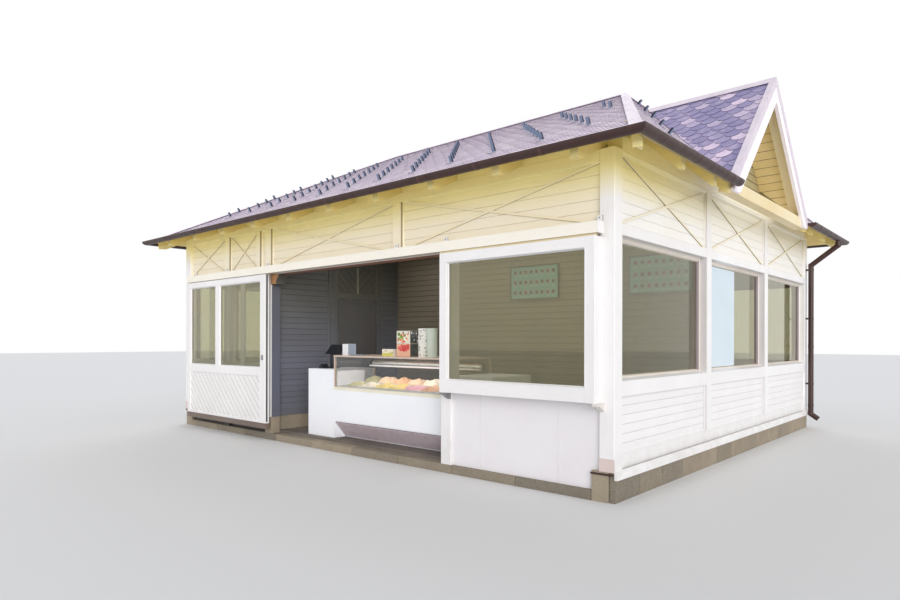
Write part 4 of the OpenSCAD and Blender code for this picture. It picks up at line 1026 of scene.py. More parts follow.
def make_gables():
    walls = Solids("gable_boards", 18, "gable_boards", "cream_timber", "gable_walls")
    trims = Solids("barge_mouldings", 19, "barge_white", "white_timber")
    face = HW - GABLE_IN
    half = math.floor(1000 * GABLE_HALF * (face - VALLEY_X) / (EX - VALLEY_X)) / 1000
    top = GABLE_TOP - GABLE_DROP
    outline = [(-half, SIDE_PLATE_Z), (half, SIDE_PLATE_Z), (half, top - half), (0, top), (-half, top - half)]
    for across in (Y, -Y):
        wall = Wall(across, face)
        backing = [wall.point(u, GABLE_T, z) for u, z in outline]
        walls.prism(backing, wall.out * (GABLE_T - BOARD_T), across, 0.5)
        place = wall.point(0, BOARD_T, 0)
        lay_boards(walls, outline, place, across, Z, GABLE_PITCH, BOARD_T, 0.006, gap=0.003)
        edge = Wall(across, EX)
        for side in (-1, 1):
            rake = (Z - across * side).normalized()
            down = -(Z + across * side).normalized()
            eave = edge.point(side * GABLE_HALF, 0, top - GABLE_HALF)
            for offset, width, out in BARGE_MOULDINGS:
                start = eave + down * offset + rake * (offset - 0.03)
                end = edge.point(0, 0, top) + down * offset - rake * offset
                profile = [(0, 0), (width, 0), (width, out * 0.6), (width * 0.7, out), (0, out)]
                trims.run(profile, start, end, down, edge.out, cut=(1, -1))


# Front: leaf and track

LEAF_LOW, LEAF_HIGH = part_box("leaf_frame")
PANE_LOW, PANE_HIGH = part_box("leaf_glass")
PANEL_LOW, PANEL_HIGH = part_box("leaf_panel")
MULLION = (LEAF_LOW.x + 1.025, LEAF_LOW.x + 1.15)
REAR_BAR = (-2.305, -2.18)
KICK_TOP = LEAF_LOW.z + 0.087
LEAF_BOARD_T = 0.014
LEAF_PANEL_T = 0.03
LEAF_PITCH = 0.1


def make_leaf():
    leaf = Wall(X, -LEAF_LOW.y)
    thick = LEAF_HIGH.y - LEAF_LOW.y
    whole = (0, thick)
    x = (LEAF_LOW.x, LEAF_HIGH.x)
    inner = (PANE_LOW.x, PANE_HIGH.x)
    glass_z = (PANE_LOW.z, PANE_HIGH.z)
    stile_z = (PANEL_LOW.z, LEAF_HIGH.z)
    members = Solids("leaf_members", 20, "white_timber", "white_timber", "leaf_frame", body="sliding_leaf")
    leaf.bars(members, [((x[0], inner[0]), whole, stile_z), ((inner[1], x[1]), whole, stile_z),
                        (MULLION, whole, glass_z)], True)
    rails = ((PANEL_HIGH.z, PANE_LOW.z), (PANE_HIGH.z, LEAF_HIGH.z))
    leaf.bars(members, [(inner, whole, rail) for rail in rails])
    leaf.bar(members, x, (-0.004, thick), (KICK_TOP, PANEL_LOW.z), chamfer=0.005)
    strip = Solids("leaf_kick_strip", 21, "kick_strip", "white_timber", "leaf_frame", body="sliding_leaf")
    leaf.bar(strip, x, whole, (LEAF_LOW.z, KICK_TOP), chamfer=0.003)

    beads = Solids("leaf_beads", 22, "white_timber", "white_timber", body="sliding_leaf")
    for u in ((inner[0], MULLION[0]), (MULLION[1], inner[1])):
        leaf.bead(beads, u, glass_z, PANE_LOW.y - LEAF_LOW.y, PANE_BEAD)
    board_in = PANEL_LOW.y - LEAF_LOW.y
    u = (PANEL_LOW.x, PANEL_HIGH.x)
    z = (PANEL_LOW.z, PANEL_HIGH.z)
    leaf.bead(beads, u, z, board_in, SMALL_BEAD)
    leaf.bar(beads, REAR_BAR, (PANE_HIGH.y - LEAF_LOW.y + 0.002, thick - 0.004), glass_z, True)
    panel = Solids("leaf_boards", 23, "leaf_boards", "white_timber", "leaf_panel", body="sliding_leaf")
    leaf.bar(panel, u, (board_in + LEAF_BOARD_T, board_in + LEAF_PANEL_T), z, chamfer=0)
    leaf.boards(panel, u, z, board_in, LEAF_BOARD_T, LEAF_PITCH, turn=-math.pi / 4)
    seal = Solids("leaf_seal", 24, "black_plastic", "steel", body="sliding_leaf")
    leaf.bar(seal, (x[1], x[1] + 0.004), (0.02, 0.045), (PANEL_LOW.z, LEAF_HIGH.z - 0.01), True, 0.001)


TRACK_LOW, TRACK_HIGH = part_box("leaf_track")
BRACKETS = (TRACK_LOW.x + 0.06, -HW + 1.525, JAMB[0] + POST / 2, (OPENING_LEFT + WALL_X) / 2,
            END_POST[0] + POST / 2, TRACK_HIGH.x - 0.06)
CLIP_HALF = 0.03
CLIP_H = 0.078
CLIP_T = 0.006
CLIP_SCREWS = (0.25, 0.7)
LINING_IN = 0.005
LINING_T = 0.006


def make_track_details():
    clips = Solids("track_clips", 26, "white_timber", "steel")
    screws = Solids("clip_screws", 36, "steel", "steel")
    top = TRACK_HIGH.z
    face = -HD - CLIP_T
    for x in BRACKETS:
        left = x - CLIP_HALF
        right = x + CLIP_HALF
        clips.block((left, face, top), (right, -HD, top + CLIP_H), Z, 0.001)
        clips.block((left, TRACK_LOW.y + 0.03, top), (right, face, top + 0.005), Y)
        screws.block((right, face, top), (right + 0.006, -HD, top + CLIP_H), Z, 0.001)
        for rise in CLIP_SCREWS:
            head = Vector((x - 0.004, face, top + CLIP_H * rise))
            screws.rod(head, head - Y * 0.004, 0.009, 10, 0.007)

    caps = Solids("track_caps", 27, "white_timber", "white_timber")
    for x in (TRACK_LOW.x, TRACK_HIGH.x):
        left, right = sorted((x, x + math.copysign(0.004, x)))
        low = (left, TRACK_LOW.y - 0.002, TRACK_LOW.z)
        caps.block(low, (right, TRACK_HIGH.y + 0.002, top + 0.002), X, 0.001)
    filler = Solids("track_filler", 37, "cream_level", "cream_timber")
    y = HUNG_LOW.y
    filler.block((HUNG_LOW.x, y + 0.012, HUNG_HIGH.z + SEAM), (HUNG_HIGH.x, y + 0.05, TRACK_LOW.z - SEAM), X)
    lining = Solids("head_lining", 28, "red_wood", "brace_timber")
    low = (OPENING_LEFT + 0.211, -HD + LINING_IN, HEAD_Z - LINING_T)
    lining.block(low, (OPENING_RIGHT, -WALL_Y - LINING_IN, HEAD_Z), X)


# Roof furniture

HOOK_LEVELS = [0.89 + 0.392 * k for k in range(7)]
HOOK_STEP = 0.682
HOOK_SLANT = 0.73
HOOK_START = {"front_roof": 3.9, "back_roof": 3.9, "right_roof": -0.12, "left_roof": -0.12}
HOOK_W = 0.04
HOOK_FOOT = (-0.09, 0.002)
LOW_HOOKS_V = 1.1
LOW_MARGIN = 0.5
MARGIN = 0.2
HOOK_SHAPE = [(0, 0), (0.028, 0), (0.024, 0.055), (0.014, 0.082), (0.005, 0.084), (0, 0.078)]
HOOK_STRAP = [(0, 0), (HOOK_W, 0), (HOOK_W, 0.004), (0, 0.004)]
HOOK_LIFT = -ROOF_T + DECK_T + TILE_T + 0.02


def make_snow_hooks():
    """Small bent straps that hold the snow, in staggered rows on the main slopes."""
    hooks = Solids("snow_hooks", 29, "hook_metal", "sheet_metal")
    for name, start in HOOK_START.items():
        for slope in SLOPES[name]:
            u0, u1 = slope.reach_u
            for v in HOOK_LEVELS:
                first = (start - HOOK_SLANT * (v - 2.0)) % HOOK_STEP
                for column in range(math.floor(u0 / HOOK_STEP) - 1, math.ceil(u1 / HOOK_STEP) + 1):
                    u = first + column * HOOK_STEP
                    if inside((u, v), slope.outline, LOW_MARGIN if v < LOW_HOOKS_V else MARGIN):
                        shape = [slope.point(u, v + a, HOOK_LIFT + b) for a, b in HOOK_SHAPE]
                        # The hook's ends are dark: painted shadow inside the bent strap
                        hooks.prism(shape, slope.u * HOOK_W, slope.v, edge=(1, 0))
                        ends = [slope.point(u, v + a, HOOK_LIFT) for a in HOOK_FOOT]
                        hooks.run(HOOK_STRAP, *ends, slope.u, slope.w)


CAP_T = 0.012
LAP_HALF = 0.076
LAP_T = 0.003
LAP_LENGTH = 0.04
LAP_STEP = 0.85
HIP_PARTS = 6
VERGE_W = 0.07
VERGE_T = 0.008
SCREW_T = 0.004
SCREW_START = 0.16
SCREW_STEP = 0.24
FRONT_SLOPE = (RIDGE_Z - EAVE_Z) / EY
CORNERS = [(sx, sy) for sx in (-1, 1) for sy in (-1, 1)]


def lap(solids, line, along, lift=0.0):
    """A thin strip over a line of points across a cap."""
    outline = [p + Z * lift for p in line] + [p + Z * (lift + LAP_T) for p in reversed(line)]
    solids.prism([p - along * (LAP_LENGTH / 2) for p in outline], along * LAP_LENGTH, along)


def make_cap_details():
    """Lapped seams across the ridge and hip caps, and screws along the verges."""
    laps = Solids("cap_laps", 30, "cap_sheet", "sheet_metal")
    top = RIDGE_Z + CAP_T
    low = top - LAP_HALF * FRONT_SLOPE
    for k in range(-3, 4):
        line = [(k * LAP_STEP, y, z) for y, z in ((-LAP_HALF, low), (0, top), (LAP_HALF, low))]
        lap(laps, [Vector(p) for p in line], X)
    for sx, sy in CORNERS:
        peak = Vector((sx * RIDGE_X, 0, top))
        foot = Vector((sx * EX, sy * EY, EAVE_Z + CAP_T))
        along = (foot - peak).normalized()
        over = Vector((along.x, along.y, 0)).normalized().cross(Z)
        for k in range(1, HIP_PARTS):
            line = [peak.lerp(foot, k / HIP_PARTS) + over * (s * LAP_HALF) for s in (-1, 0, 1)]
            for p in (line[0], line[2]):
                p.z = EAVE_Z + min((EX - abs(p.x)) * END_SLOPE, (EY - abs(p.y)) * FRONT_SLOPE) + CAP_T
            lap(laps, line, along, 0.0005)

    screws = Solids("verge_screws", 31, "cap_sheet", "sheet_metal")
    for sx, sy in CORNERS:
        distance = SCREW_START
        while distance < GABLE_HALF - 0.05:
            place = Vector((sx * (EX - VERGE_W / 2), sy * distance, GABLE_TOP - distance + CAP_T))
            screws.rod(place, place + Vector((0, sy, 1)).normalized() * SCREW_T, 0.007, 8, 0.004)
            place = Vector((sx * (EX + VERGE_T), sy * distance, GABLE_TOP - distance - 0.04))
            screws.rod(place, place + X * (sx * SCREW_T), 0.006, 8, 0.004)
            distance += SCREW_STEP


GUTTER_R = 0.063
GUTTER_Z = EAVE_Z - 0.022
GUTTER_BEAD = 0.008
FRONT_JOINTS = (2.308, 3.131, 3.95, 0.6, -1.1, -2.9, -4.0)
SIDE_JOINTS = (-3.03, -2.13)
BAND_ANGLES = [math.radians(-14 - k * 152 / 12) for k in range(13)]
BAND_L = 0.032
BAND_T = 0.002
PIPE_X = HW + 0.085
# Half the height, radius and levels of the bands and of the sockets round a downpipe
PIPE_BANDS = ((0.015, 0.0485, (0.815, 2.015, 2.915)), (0.03, 0.0475, (1.5, 0.42)))


def make_gutter_details():
    """The rolled rim of the gutters, their joint bands, and the bands of the downpipes."""
    rims = Solids("gutter_rims", 32, "gutter_brown", "brown_metal")
    x = EX + (GUTTER_R * 2 - GUTTER_BEAD)
    places = []
    for s in (-1, 1):
        y = s * (EY + (GUTTER_R * 2 - GUTTER_BEAD))
        rims.rod((-x, y, GUTTER_Z), (x, y, GUTTER_Z), GUTTER_BEAD, 10)
        places += [(Vector((joint * -s, s * (EY + GUTTER_R), GUTTER_Z)), X, Y * s) for joint in FRONT_JOINTS]
        for sx in (-1, 1):
            rims.rod((sx * x, y, GUTTER_Z), (sx * x, s * (GABLE_HALF + 0.004), GUTTER_Z), GUTTER_BEAD, 10)
            side = sx * (EX + GUTTER_R)
            places += [(Vector((side, joint * -s, GUTTER_Z)), Y, X * sx) for joint in SIDE_JOINTS]
    bands = Solids("gutter_bands", 33, "gutter_bands", "brown_metal")
    for middle, along, out in places:
        outer, inner = [[out * (math.cos(angle) * r) + Z * (math.sin(angle) * r) for angle in BAND_ANGLES]
                        for r in (GUTTER_R + BAND_T, GUTTER_R - BAND_T)]
        bands.prism([middle + p - along * (BAND_L / 2) for p in outer + inner[::-1]], along * BAND_L, along)

    collars = Solids("pipe_bands", 34, "gutter_brown", "brown_metal")
    for sx in (-1, 1):
        for half, radius, levels in PIPE_BANDS:
            for z in levels:
                ends = [(sx * PIPE_X, HD - POST / 2, z + rise) for rise in (-half, half)]
                collars.rod(*ends, radius, 24)


# Sales room

FACE_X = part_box("partition")[1].x
INNER_T = 0.1
INNER_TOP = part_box("partition")[1].z
JAMB_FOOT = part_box("partition")[0].z
DOOR_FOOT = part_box("service_door")[0].z
DOOR_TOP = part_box("service_door")[1].z
DOOR_Y = (-HD + 1.392, -HD + 2.285)
FRAME_W = 0.106
ROOM_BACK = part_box("back_room_wall")[0].y
OVERLIGHT_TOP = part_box("door_frame")[1].z
OVERLIGHT_Z = (DOOR_TOP + 0.12, OVERLIGHT_TOP - 0.04)
OVERLIGHT_BEAD = [(0, 0), (0.012, 0), (0.004, 0.012), (0, 0.012)]
SKIRTING_Z = 0.47
PARTITION = Wall(Y, FACE_X)
ROOM_WALL = Wall(X, -ROOM_BACK)
BEHIND_BOARDS = (BOARD_T, INNER_T)
FRONT_PART = (-WALL_Y, DOOR_Y[0] - FRAME_W)
REAR_PART = (DOOR_Y[1] + FRAME_W, ROOM_BACK)
STONE_ENDS = (-3.43, -2.95)
STONE_GAP = 0.003
HINGE_Y = (-1.468, -1.44)
HINGE_Z = (2.01, 2.19)
OVERLIGHT_PITCH = 0.105
OVERLIGHT_BOARD_T = 0.01


def make_partition():
    over = (FRONT_PART[1] + SEAM, REAR_PART[0] - SEAM)
    boards = Solids("partition_boards", 40, "grey_boards", "grey_timber", "partition")
    for u, foot, low in ((FRONT_PART, JAMB_FOOT, SKIRTING_Z), (REAR_PART, JAMB_FOOT, SKIRTING_Z),
                         (over, OVERLIGHT_TOP, OVERLIGHT_TOP)):
        PARTITION.bar(boards, u, BEHIND_BOARDS, (foot, INNER_TOP), chamfer=0, tint=0.5)
        PARTITION.boards(boards, u, (low, INNER_TOP), 0, BOARD_T, SIDE_PITCH)

    trims = Solids("partition_trims", 41, "grey_trims", "grey_timber")
    post = (FRONT_PART[1] - 0.116, FRONT_PART[1] - 0.081)
    door = (DOOR_Y[0] - 0.008, DOOR_Y[1] + 0.017)
    room_z = (JAMB_FOOT, INNER_TOP)
    frame_z = (FLOOR_Z, OVERLIGHT_TOP)
    PARTITION.bars(trims, [(u, (-0.006, BOARD_T), (JAMB_FOOT, SKIRTING_Z)) for u in (FRONT_PART, REAR_PART)])
    PARTITION.bars(trims, [(post, (-0.014, 0), room_z), ((door[1], REAR_PART[0]), (-0.012, 0), frame_z),
                           ((FRONT_PART[1], door[0]), (-0.008, 0), frame_z)], True)
    PARTITION.bar(trims, door, (-0.008, 0), (DOOR_TOP + 0.02, OVERLIGHT_Z[0]))
    PARTITION.bar(trims, (ROOM_BACK - 0.03, ROOM_BACK - 0.001), (-0.03, 0), room_z, True)

    base = Solids("partition_stones", 44, "stone_blocks", "stone", "partition_base")
    first, second = STONE_ENDS
    stones = ((-WALL_Y, first), (first + STONE_GAP, second), (second + STONE_GAP, FRONT_PART[1]), REAR_PART)
    PARTITION.bars(base, [(u, (0, INNER_T), (FLOOR_Z, JAMB_FOOT)) for u in stones])
    FRONT_WALL.bar(base, JAMB, WHOLE, (KERB_Z, JAMB_FOOT))


def make_door_surround():
    """The jamb's lining, and the boarded top light over the service door."""
    lining = Solids("jamb_lining", 42, "jamb_lining", "grey_timber")
    for out, low, high, chamfer in ((0.016, SKIRTING_Z, HEAD_Z - 0.16, 0.003),
                                    (0.01, JAMB_FOOT, SKIRTING_Z - 0.002, 0.002)):
        lining.block((OPENING_LEFT, -HD + 0.012, low), (OPENING_LEFT + out, -WALL_Y, high), Z, chamfer)
    hinge = Solids("door_hinge_plate", 48, "grey_trims", "steel")
    hinge.block((FACE_X + 0.012, HINGE_Y[0], HINGE_Z[0]), (FACE_X + 0.02, HINGE_Y[1], HINGE_Z[1]), Z, 0.002)

    middle = (DOOR_Y[0] + DOOR_Y[1]) / 2
    panels = Solids("overlight_boards", 43, "overlight_boards", "grey_timber")
    for u, turn in (((DOOR_Y[0], middle - 0.02), -math.pi / 4), ((middle + 0.02, DOOR_Y[1]), math.pi / 4)):
        PARTITION.boards(panels, u, OVERLIGHT_Z, OVERLIGHT_BOARD_T, OVERLIGHT_BOARD_T, OVERLIGHT_PITCH, turn)
        PARTITION.bead(panels, u, OVERLIGHT_Z, OVERLIGHT_BOARD_T, OVERLIGHT_BEAD)
    bar = Solids("overlight_bar", 60, "overlight_bar", "grey_timber")
    PARTITION.bar(bar, (middle - 0.019, middle + 0.019), (-0.006, 0.01), OVERLIGHT_Z, True, 0.002)


def make_room_wall():
    back = Solids("room_boards", 45, "room_boards", "grey_timber", "back_room_wall")
    left = FACE_X - INNER_T
    low = (FLOOR_Z, PLINTH_Z)
    high = (PLINTH_Z, INNER_TOP)
    rows = [((left, LEDGE_X), BEHIND_BOARDS, low), ((left, WALL_X), BEHIND_BOARDS, high),
            ((left, FACE_X), (0, BOARD_T), (FLOOR_Z, INNER_TOP))]
    ROOM_WALL.bars(back, rows, chamfer=0)
    for right, z in ((LEDGE_X, low), (WALL_X, high)):
        ROOM_WALL.boards(back, (FACE_X, right), z, 0, BOARD_T, SIDE_PITCH)


DOOR_STILE = 0.1
DOOR_FOOT_RAIL = 0.16
DOOR_MIDDLE_RAIL = (1.06, 1.18)
DOOR_BOARDS = 7


def make_door_face():
    """Frame and upright boards on the face of the service door."""
    face = Solids("door_boards", 46, "door_grey", "grey_timber", body="service_door")
    u = (DOOR_Y[0] + 0.004, DOOR_Y[1] - 0.014)
    z = (DOOR_FOOT + 0.004, DOOR_TOP - 0.004)
    inner = (u[0] + DOOR_STILE, u[1] - DOOR_STILE)
    fields = ((z[0] + DOOR_FOOT_RAIL, DOOR_MIDDLE_RAIL[0]), (DOOR_MIDDLE_RAIL[1], z[1] - DOOR_STILE))
    rails = ((z[0], fields[0][0]), DOOR_MIDDLE_RAIL, (fields[1][1], z[1]))
    stiles = ((u[0], inner[0]), (inner[1], u[1]))
    PARTITION.bars(face, [(stile, (-0.008, 0), z) for stile in stiles], True, 0.002)
    PARTITION.bars(face, [(inner, (-0.008, 0), rail) for rail in rails], chamfer=0.002)
    width = (inner[1] - inner[0]) / DOOR_BOARDS
    for k in range(DOOR_BOARDS):
        left = inner[0] + k * width
        board = (left, left + width - 0.002)
        PARTITION.bars(face, [(board, (-0.003, 0), field) for field in fields], True, 0.001)


CORBEL_LOW, CORBEL_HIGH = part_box("corbel")
CORBEL_FOOT_W = 0.13
CORBEL_EDGE = 0.048
CORBEL_STEPS = 9


def make_corbel_face():
    """The bare wood of the corbel's front, with its hollow curve."""
    rise = CORBEL_HIGH.z - CORBEL_LOW.z - CORBEL_EDGE
    foot_x = CORBEL_LOW.x + CORBEL_FOOT_W
    reach = CORBEL_HIGH.x - foot_x
    radius = (rise * rise + reach * reach) / (2 * reach)
    outline = [(CORBEL_LOW.x, CORBEL_HIGH.z), (CORBEL_LOW.x, CORBEL_LOW.z), (foot_x, CORBEL_LOW.z)]
    for k in range(1, CORBEL_STEPS + 1):
        z = rise * k / CORBEL_STEPS
        outline.append((foot_x + radius - math.sqrt(radius * radius - z * z), CORBEL_LOW.z + z))
    outline.append((CORBEL_HIGH.x, CORBEL_HIGH.z))
    face = Solids("corbel_face", 47, "bare_wood", "grey_timber")
    face.prism([Vector((x, CORBEL_LOW.y, z)) for x, z in outline], Y * -0.003, Z)


# Counter and what stands in and on it

CASE_LOW, CASE_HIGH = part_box("display_case")
COUNTER_LOW, COUNTER_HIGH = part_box("counter")
CASE_BAR = 0.028
CASE_INSIDE = CASE_HIGH.x - CASE_BAR - 0.01
DECK_Z = CASE_LOW.z + 0.038
PAN_Z = DECK_Z + 0.012
PAN_GAP = 0.004
TRAY_Y = (-3.515, -2.76)
PISTACHIO = (0.8, 0.78, 0.55)
CREAM_ICE = (0.97, 0.93, 0.83)
ORANGE_ICE = (0.95, 0.72, 0.52)
YELLOW_ICE = (0.97, 0.86, 0.45)
PINK_ICE = (0.96, 0.7, 0.74)
PEACH_ICE = (0.96, 0.82, 0.66)
NUT_ICE = (0.68, 0.66, 0.45)
FRONT_ROW = (PISTACHIO, CREAM_ICE, YELLOW_ICE, YELLOW_ICE, PINK_ICE, ORANGE_ICE, CREAM_ICE)
REAR_ROW = (NUT_ICE, PEACH_ICE, ORANGE_ICE, PEACH_ICE, CREAM_ICE, PEACH_ICE, PISTACHIO)
# Colours, front, back, rim level and height of the heaps of each row
PAN_ROWS = ((FRONT_ROW, -3.515, -3.17, 0.93, 0.08), (REAR_ROW, -3.16, -2.83, 0.97, 0.1))
HEAP_RINGS = 9
HEAP_SIDES = 28


def heap(solids, middle, half, height, seed):
    """A rounded heap with scooped waves, closed underneath."""
    rings = []
    for k in range(HEAP_RINGS):
        share = k / (HEAP_RINGS - 0.5)
        wide = math.cos(share * math.pi / 2)
        ring = []
        for i in range(HEAP_SIDES):
            angle = 2 * math.pi * i / HEAP_SIDES
            c = math.cos(angle)
            s = math.sin(angle)
            reach = 1 / (abs(c) ** 5 + abs(s) ** 5) ** 0.2
            x = middle[0] + half[0] * wide * reach * c
            y = middle[1] + half[1] * wide * reach * s
            p = Vector((x, y, middle[2]))
            if k:
                wave = noise.noise(p * 16 + Vector((seed, 0, 0))) * 0.035
                ridge = abs(noise.noise(p * 42 + Vector((0, seed, 0)))) * -0.035
                p.z += height * math.sin(share * math.pi / 2) + (wave + ridge) * min(1, 3 * share)
            ring.append(p)
        rings.append(ring)
    solids.loft(rings, X)


def make_ice():
    pans = Solids("ice_pans", 50, "pan_rims", "case_metal")
    ice = Solids("ice_heaps", 51, "ice_cream", "goods_card", smooth=True)
    left = CASE_LOW.x + 0.17
    step = (CASE_INSIDE - left) / len(FRONT_ROW)
    pans.block((CASE_LOW.x + CASE_BAR + 0.004, TRAY_Y[0], DECK_Z), (CASE_INSIDE, TRAY_Y[1], PAN_Z), X, 0.002)
    for row, front, back, rim, height in PAN_ROWS:
        side = [(0, 0), (0.008, 0), (0.008, rim - PAN_Z), (-0.002, rim - DECK_Z - 0.008)]
        for k, colour in enumerate(row):
            x0 = left + k * step + PAN_GAP
            x1 = left + (k + 1) * step - PAN_GAP
            border(pans, (x0, x1), (front, back), Z * PAN_Z, X, Y, side)
            ice.paint = colour
            middle = ((x0 + x1) / 2, (front + back) / 2, rim - 0.02)
            heap(ice, middle, ((x1 - x0) / 2 - 0.012, (back - front) / 2 - 0.012), height, 7.3 * k + rim * 50)


GRILLE_TOP = 0.398
GRILLE_IN = 0.225
GRILLE_SLAT_T = 0.0045 + 0.0008


def make_grille_trims():
    """Strips along the foot and the left end of the sloping grille."""
    trims = Solids("grille_trims", 59, "white_laminate", "grille_metal")
    down = Vector((0, GRILLE_IN, FLOOR_Z - GRILLE_TOP))
    length = down.length
    down.normalize()
    out = down.cross(X)
    top = Vector((CASE_LOW.x, COUNTER_LOW.y, GRILLE_TOP))
    foot = top + down * (length - 0.032)
    profile = [(0, 0), (0.03, 0), (0.03, 0.014), (0, 0.014)]
    trims.run(profile, foot, foot + X * (CASE_HIGH.x - CASE_LOW.x), down, out)
    trims.run(profile, top, foot, X, out)


ROLLER_Y = -2.85
ROLLER_Z = 1.245
END_LINING_Y = (-3.5, -2.96)
END_LINING_TOP = 1.14
RIM_PROFILE = [(0, 0), (0.022, 0), (0.022, 0.004), (0.004, 0.004), (0.004, 0.022), (0, 0.022)]
BAND_PROFILE = [(0, 0), (0.004, 0), (0.004, 0.046), (0, 0.046)]


def make_case_fittings():
    """The rim, the band, the end lining, the blind's roller and the lamp of the display case."""
    outer = [(low - 0.004, high + 0.004) for low, high in zip(CASE_LOW.xy, CASE_HIGH.xy)]
    rim = Solids("case_rim", 52, "case_steel", "case_metal")
    border(rim, *outer, Z * (CASE_HIGH.z - 0.02), X, Y, RIM_PROFILE)
    band = Solids("case_band", 53, "beige_band", "case_metal")
    border(band, *outer, Z * (CASE_LOW.z - 0.006), X, Y, BAND_PROFILE)
    lining = Solids("case_lining", 55, "white_laminate", "counter_white")
    low = (CASE_LOW.x + 0.016, END_LINING_Y[0], PAN_Z)
    lining.block(low, (CASE_LOW.x + 0.026, END_LINING_Y[1], END_LINING_TOP), Z, 0.002)

    left = CASE_LOW.x + 0.1
    on_axis = [(x, ROLLER_Y, ROLLER_Z) for x in (left, left + 0.02, left + 0.045, CASE_INSIDE)]
    roller = Solids("case_roller", 56, "bright_steel", "case_metal")
    roller.rod(on_axis[1], on_axis[3], 0.06, 32)
    ends = Solids("roller_ends", 57, "black_plastic", "case_metal")
    ends.rod(on_axis[0], on_axis[1], 0.074, 32)
    ends.rod(on_axis[1], on_axis[2], 0.066, 32, 0.061)
    lamp = Solids("case_lamp", 58, "white_laminate", "counter_white")
    lamp.rod(*((x, ROLLER_Y - 0.09, ROLLER_Z - 0.035) for x in (left + 0.03, CASE_INSIDE)), 0.012, 14)


def pattern(solids, wall, u, z, depth, colours, count, size):
    """Thin round spots of several colours on an upright face."""
    for k in range(count):
        radius = size * solids.random.uniform(0.5, 1.0)
        solids.paint = colours[k % len(colours)]
        centre = wall.point(solids.random.uniform(u[0] + radius, u[1] - radius), depth,
                            solids.random.uniform(z[0] + radius, z[1] - radius))
        solids.rod(centre, centre + wall.out * (0.0006 + 0.00004 * k), radius, 14)


GOODS_Z = CASE_HIGH.z
TILL = (-0.785, -3.3)
TILL_SCREEN = [(0, 0.223), (0.012, 0.218), (0.135, 0.36), (0.123, 0.37)]
# Low and high corner and chamfer of the till's stand, foot, drawer and key pad, from its place
TILL_BLOCKS = (((0.05, 0.06, 0), (0.13, 0.1, 0.28), Z, 0.01),
               ((0.03, 0, 0), (0.19, 0.14, 0.014), X, 0.004),
               ((0, -0.12, 0), (0.11, -0.01, 0.035), X, 0.008),
               ((0.01, -0.1, 0.035), (0.1, -0.02, 0.07), X, 0.012))
DARK_PRINT = (0.22, 0.25, 0.24)
# Left, front, width, depth, foot and top of each box on the case, with the colours of its front and side
BOXES = ((0.05, 0.12, 0.13, 0.15, 0, 0.172, (0.93, 0.93, 0.94), (0.6, 0.65, 0.72)),
         (0.8, 0.24, 0.232, 0.12, 0, 0.102, (0.95, 0.93, 0.85), (0.9, 0.88, 0.82)),
         (1.105, 0.24, 0.268, 0.24, 0, 0.18, (0.93, 0.72, 0.6), DARK_PRINT),
         (1.105, 0.24, 0.268, 0.24, 0.182, 0.36, (0.93, 0.92, 0.86), DARK_PRINT))
LABEL = (0.86, 0.84, 0.35)
LABEL_SPOTS = [(0.6, 0.5, 0.3), (0.8, 0.8, 0.5)]
RED_SPOTS = [(0.85, 0.2, 0.18), (0.8, 0.12, 0.12), (0.93, 0.4, 0.34), (0.85, 0.2, 0.18)]
DARK_SPOTS = [(0.3, 0.33, 0.3), (0.26, 0.25, 0.22), (0.16, 0.2, 0.2)]
MIXED_SPOTS = [(0.62, 0.72, 0.28), (0.93, 0.36, 0.25), (0.96, 0.9, 0.75), (0.4, 0.5, 0.2), (0.98, 0.97, 0.95),
               (0.9, 0.5, 0.35)]
GREY_SPOTS = [(0.88, 0.88, 0.88), (0.16, 0.2, 0.2), (0.5, 0.5, 0.5), (0.1, 0.12, 0.12)]
SIDE_PRINT_T = 0.0008


def make_till():
    till = Solids("till", 60, "black_plastic", "goods_card", "counter_goods")
    x, y = TILL
    top = COUNTER_HIGH.z
    till.prism([(x, y + a, top + b) for a, b in TILL_SCREEN], X * 0.36, X)
    for low, high, along, chamfer in TILL_BLOCKS:
        till.block(*([x + p[0], y + p[1], top + p[2]] for p in (low, high)), along, chamfer)


def make_boxes():
    goods = Solids("counter_boxes", 61, "printed_card", "goods_card", "counter_goods")
    case_x, case_y = CASE_LOW.xy
    for k, (a, b, w, d, foot, top, front, side) in enumerate(BOXES):
        low = Vector((case_x + a, case_y + b, GOODS_Z + foot))
        high = Vector((case_x + a + w, case_y + b + d, GOODS_Z + top))
        goods.paint = front
        goods.block(low, high, X, 0.003)
        goods.paint = side
        start = (high.x, low.y + 0.002, low.z + 0.002)
        goods.block(start, (high.x + SIDE_PRINT_T, high.y - 0.002, high.z - 0.002), Y)
        face = Wall(X, -low.y)
        flank = Wall(Y, high.x + SIDE_PRINT_T)
        u = (low.x + 0.004, high.x - 0.004)
        v = (low.y + 0.006, high.y - 0.006)
        z = (low.z + 0.004, high.z - 0.004)
        if k == 1:
            goods.paint = LABEL
            face.bar(goods, u, (-0.0008, 0), (z[0], z[0] + 0.04), chamfer=0)
            pattern(goods, face, u, (z[0] + 0.02, z[1]), -0.0008, LABEL_SPOTS, 4, 0.02)
        if k == 2:
            pattern(goods, face, u, (z[0] + 0.06, z[1]), 0, RED_SPOTS, 26, 0.032)
            pattern(goods, flank, v, z, 0, DARK_SPOTS, 16, 0.03)
        if k == 3:
            pattern(goods, face, u, z, 0, MIXED_SPOTS, 44, 0.026)
            pattern(goods, flank, v, z, 0, GREY_SPOTS, 40, 0.018)
    goods.paint = (0.55, 0.58, 0.62)
    low = (case_x + 0.22, case_y + 0.13, GOODS_Z)
    goods.block(low, (case_x + 0.4, case_y + 0.25, GOODS_Z + 0.016), X, 0.004)


TUB_LEVELS = 13
STACK_H = 0.39
TUB_FOOT_R = 0.0695
TUB_RIM_R = 0.0745
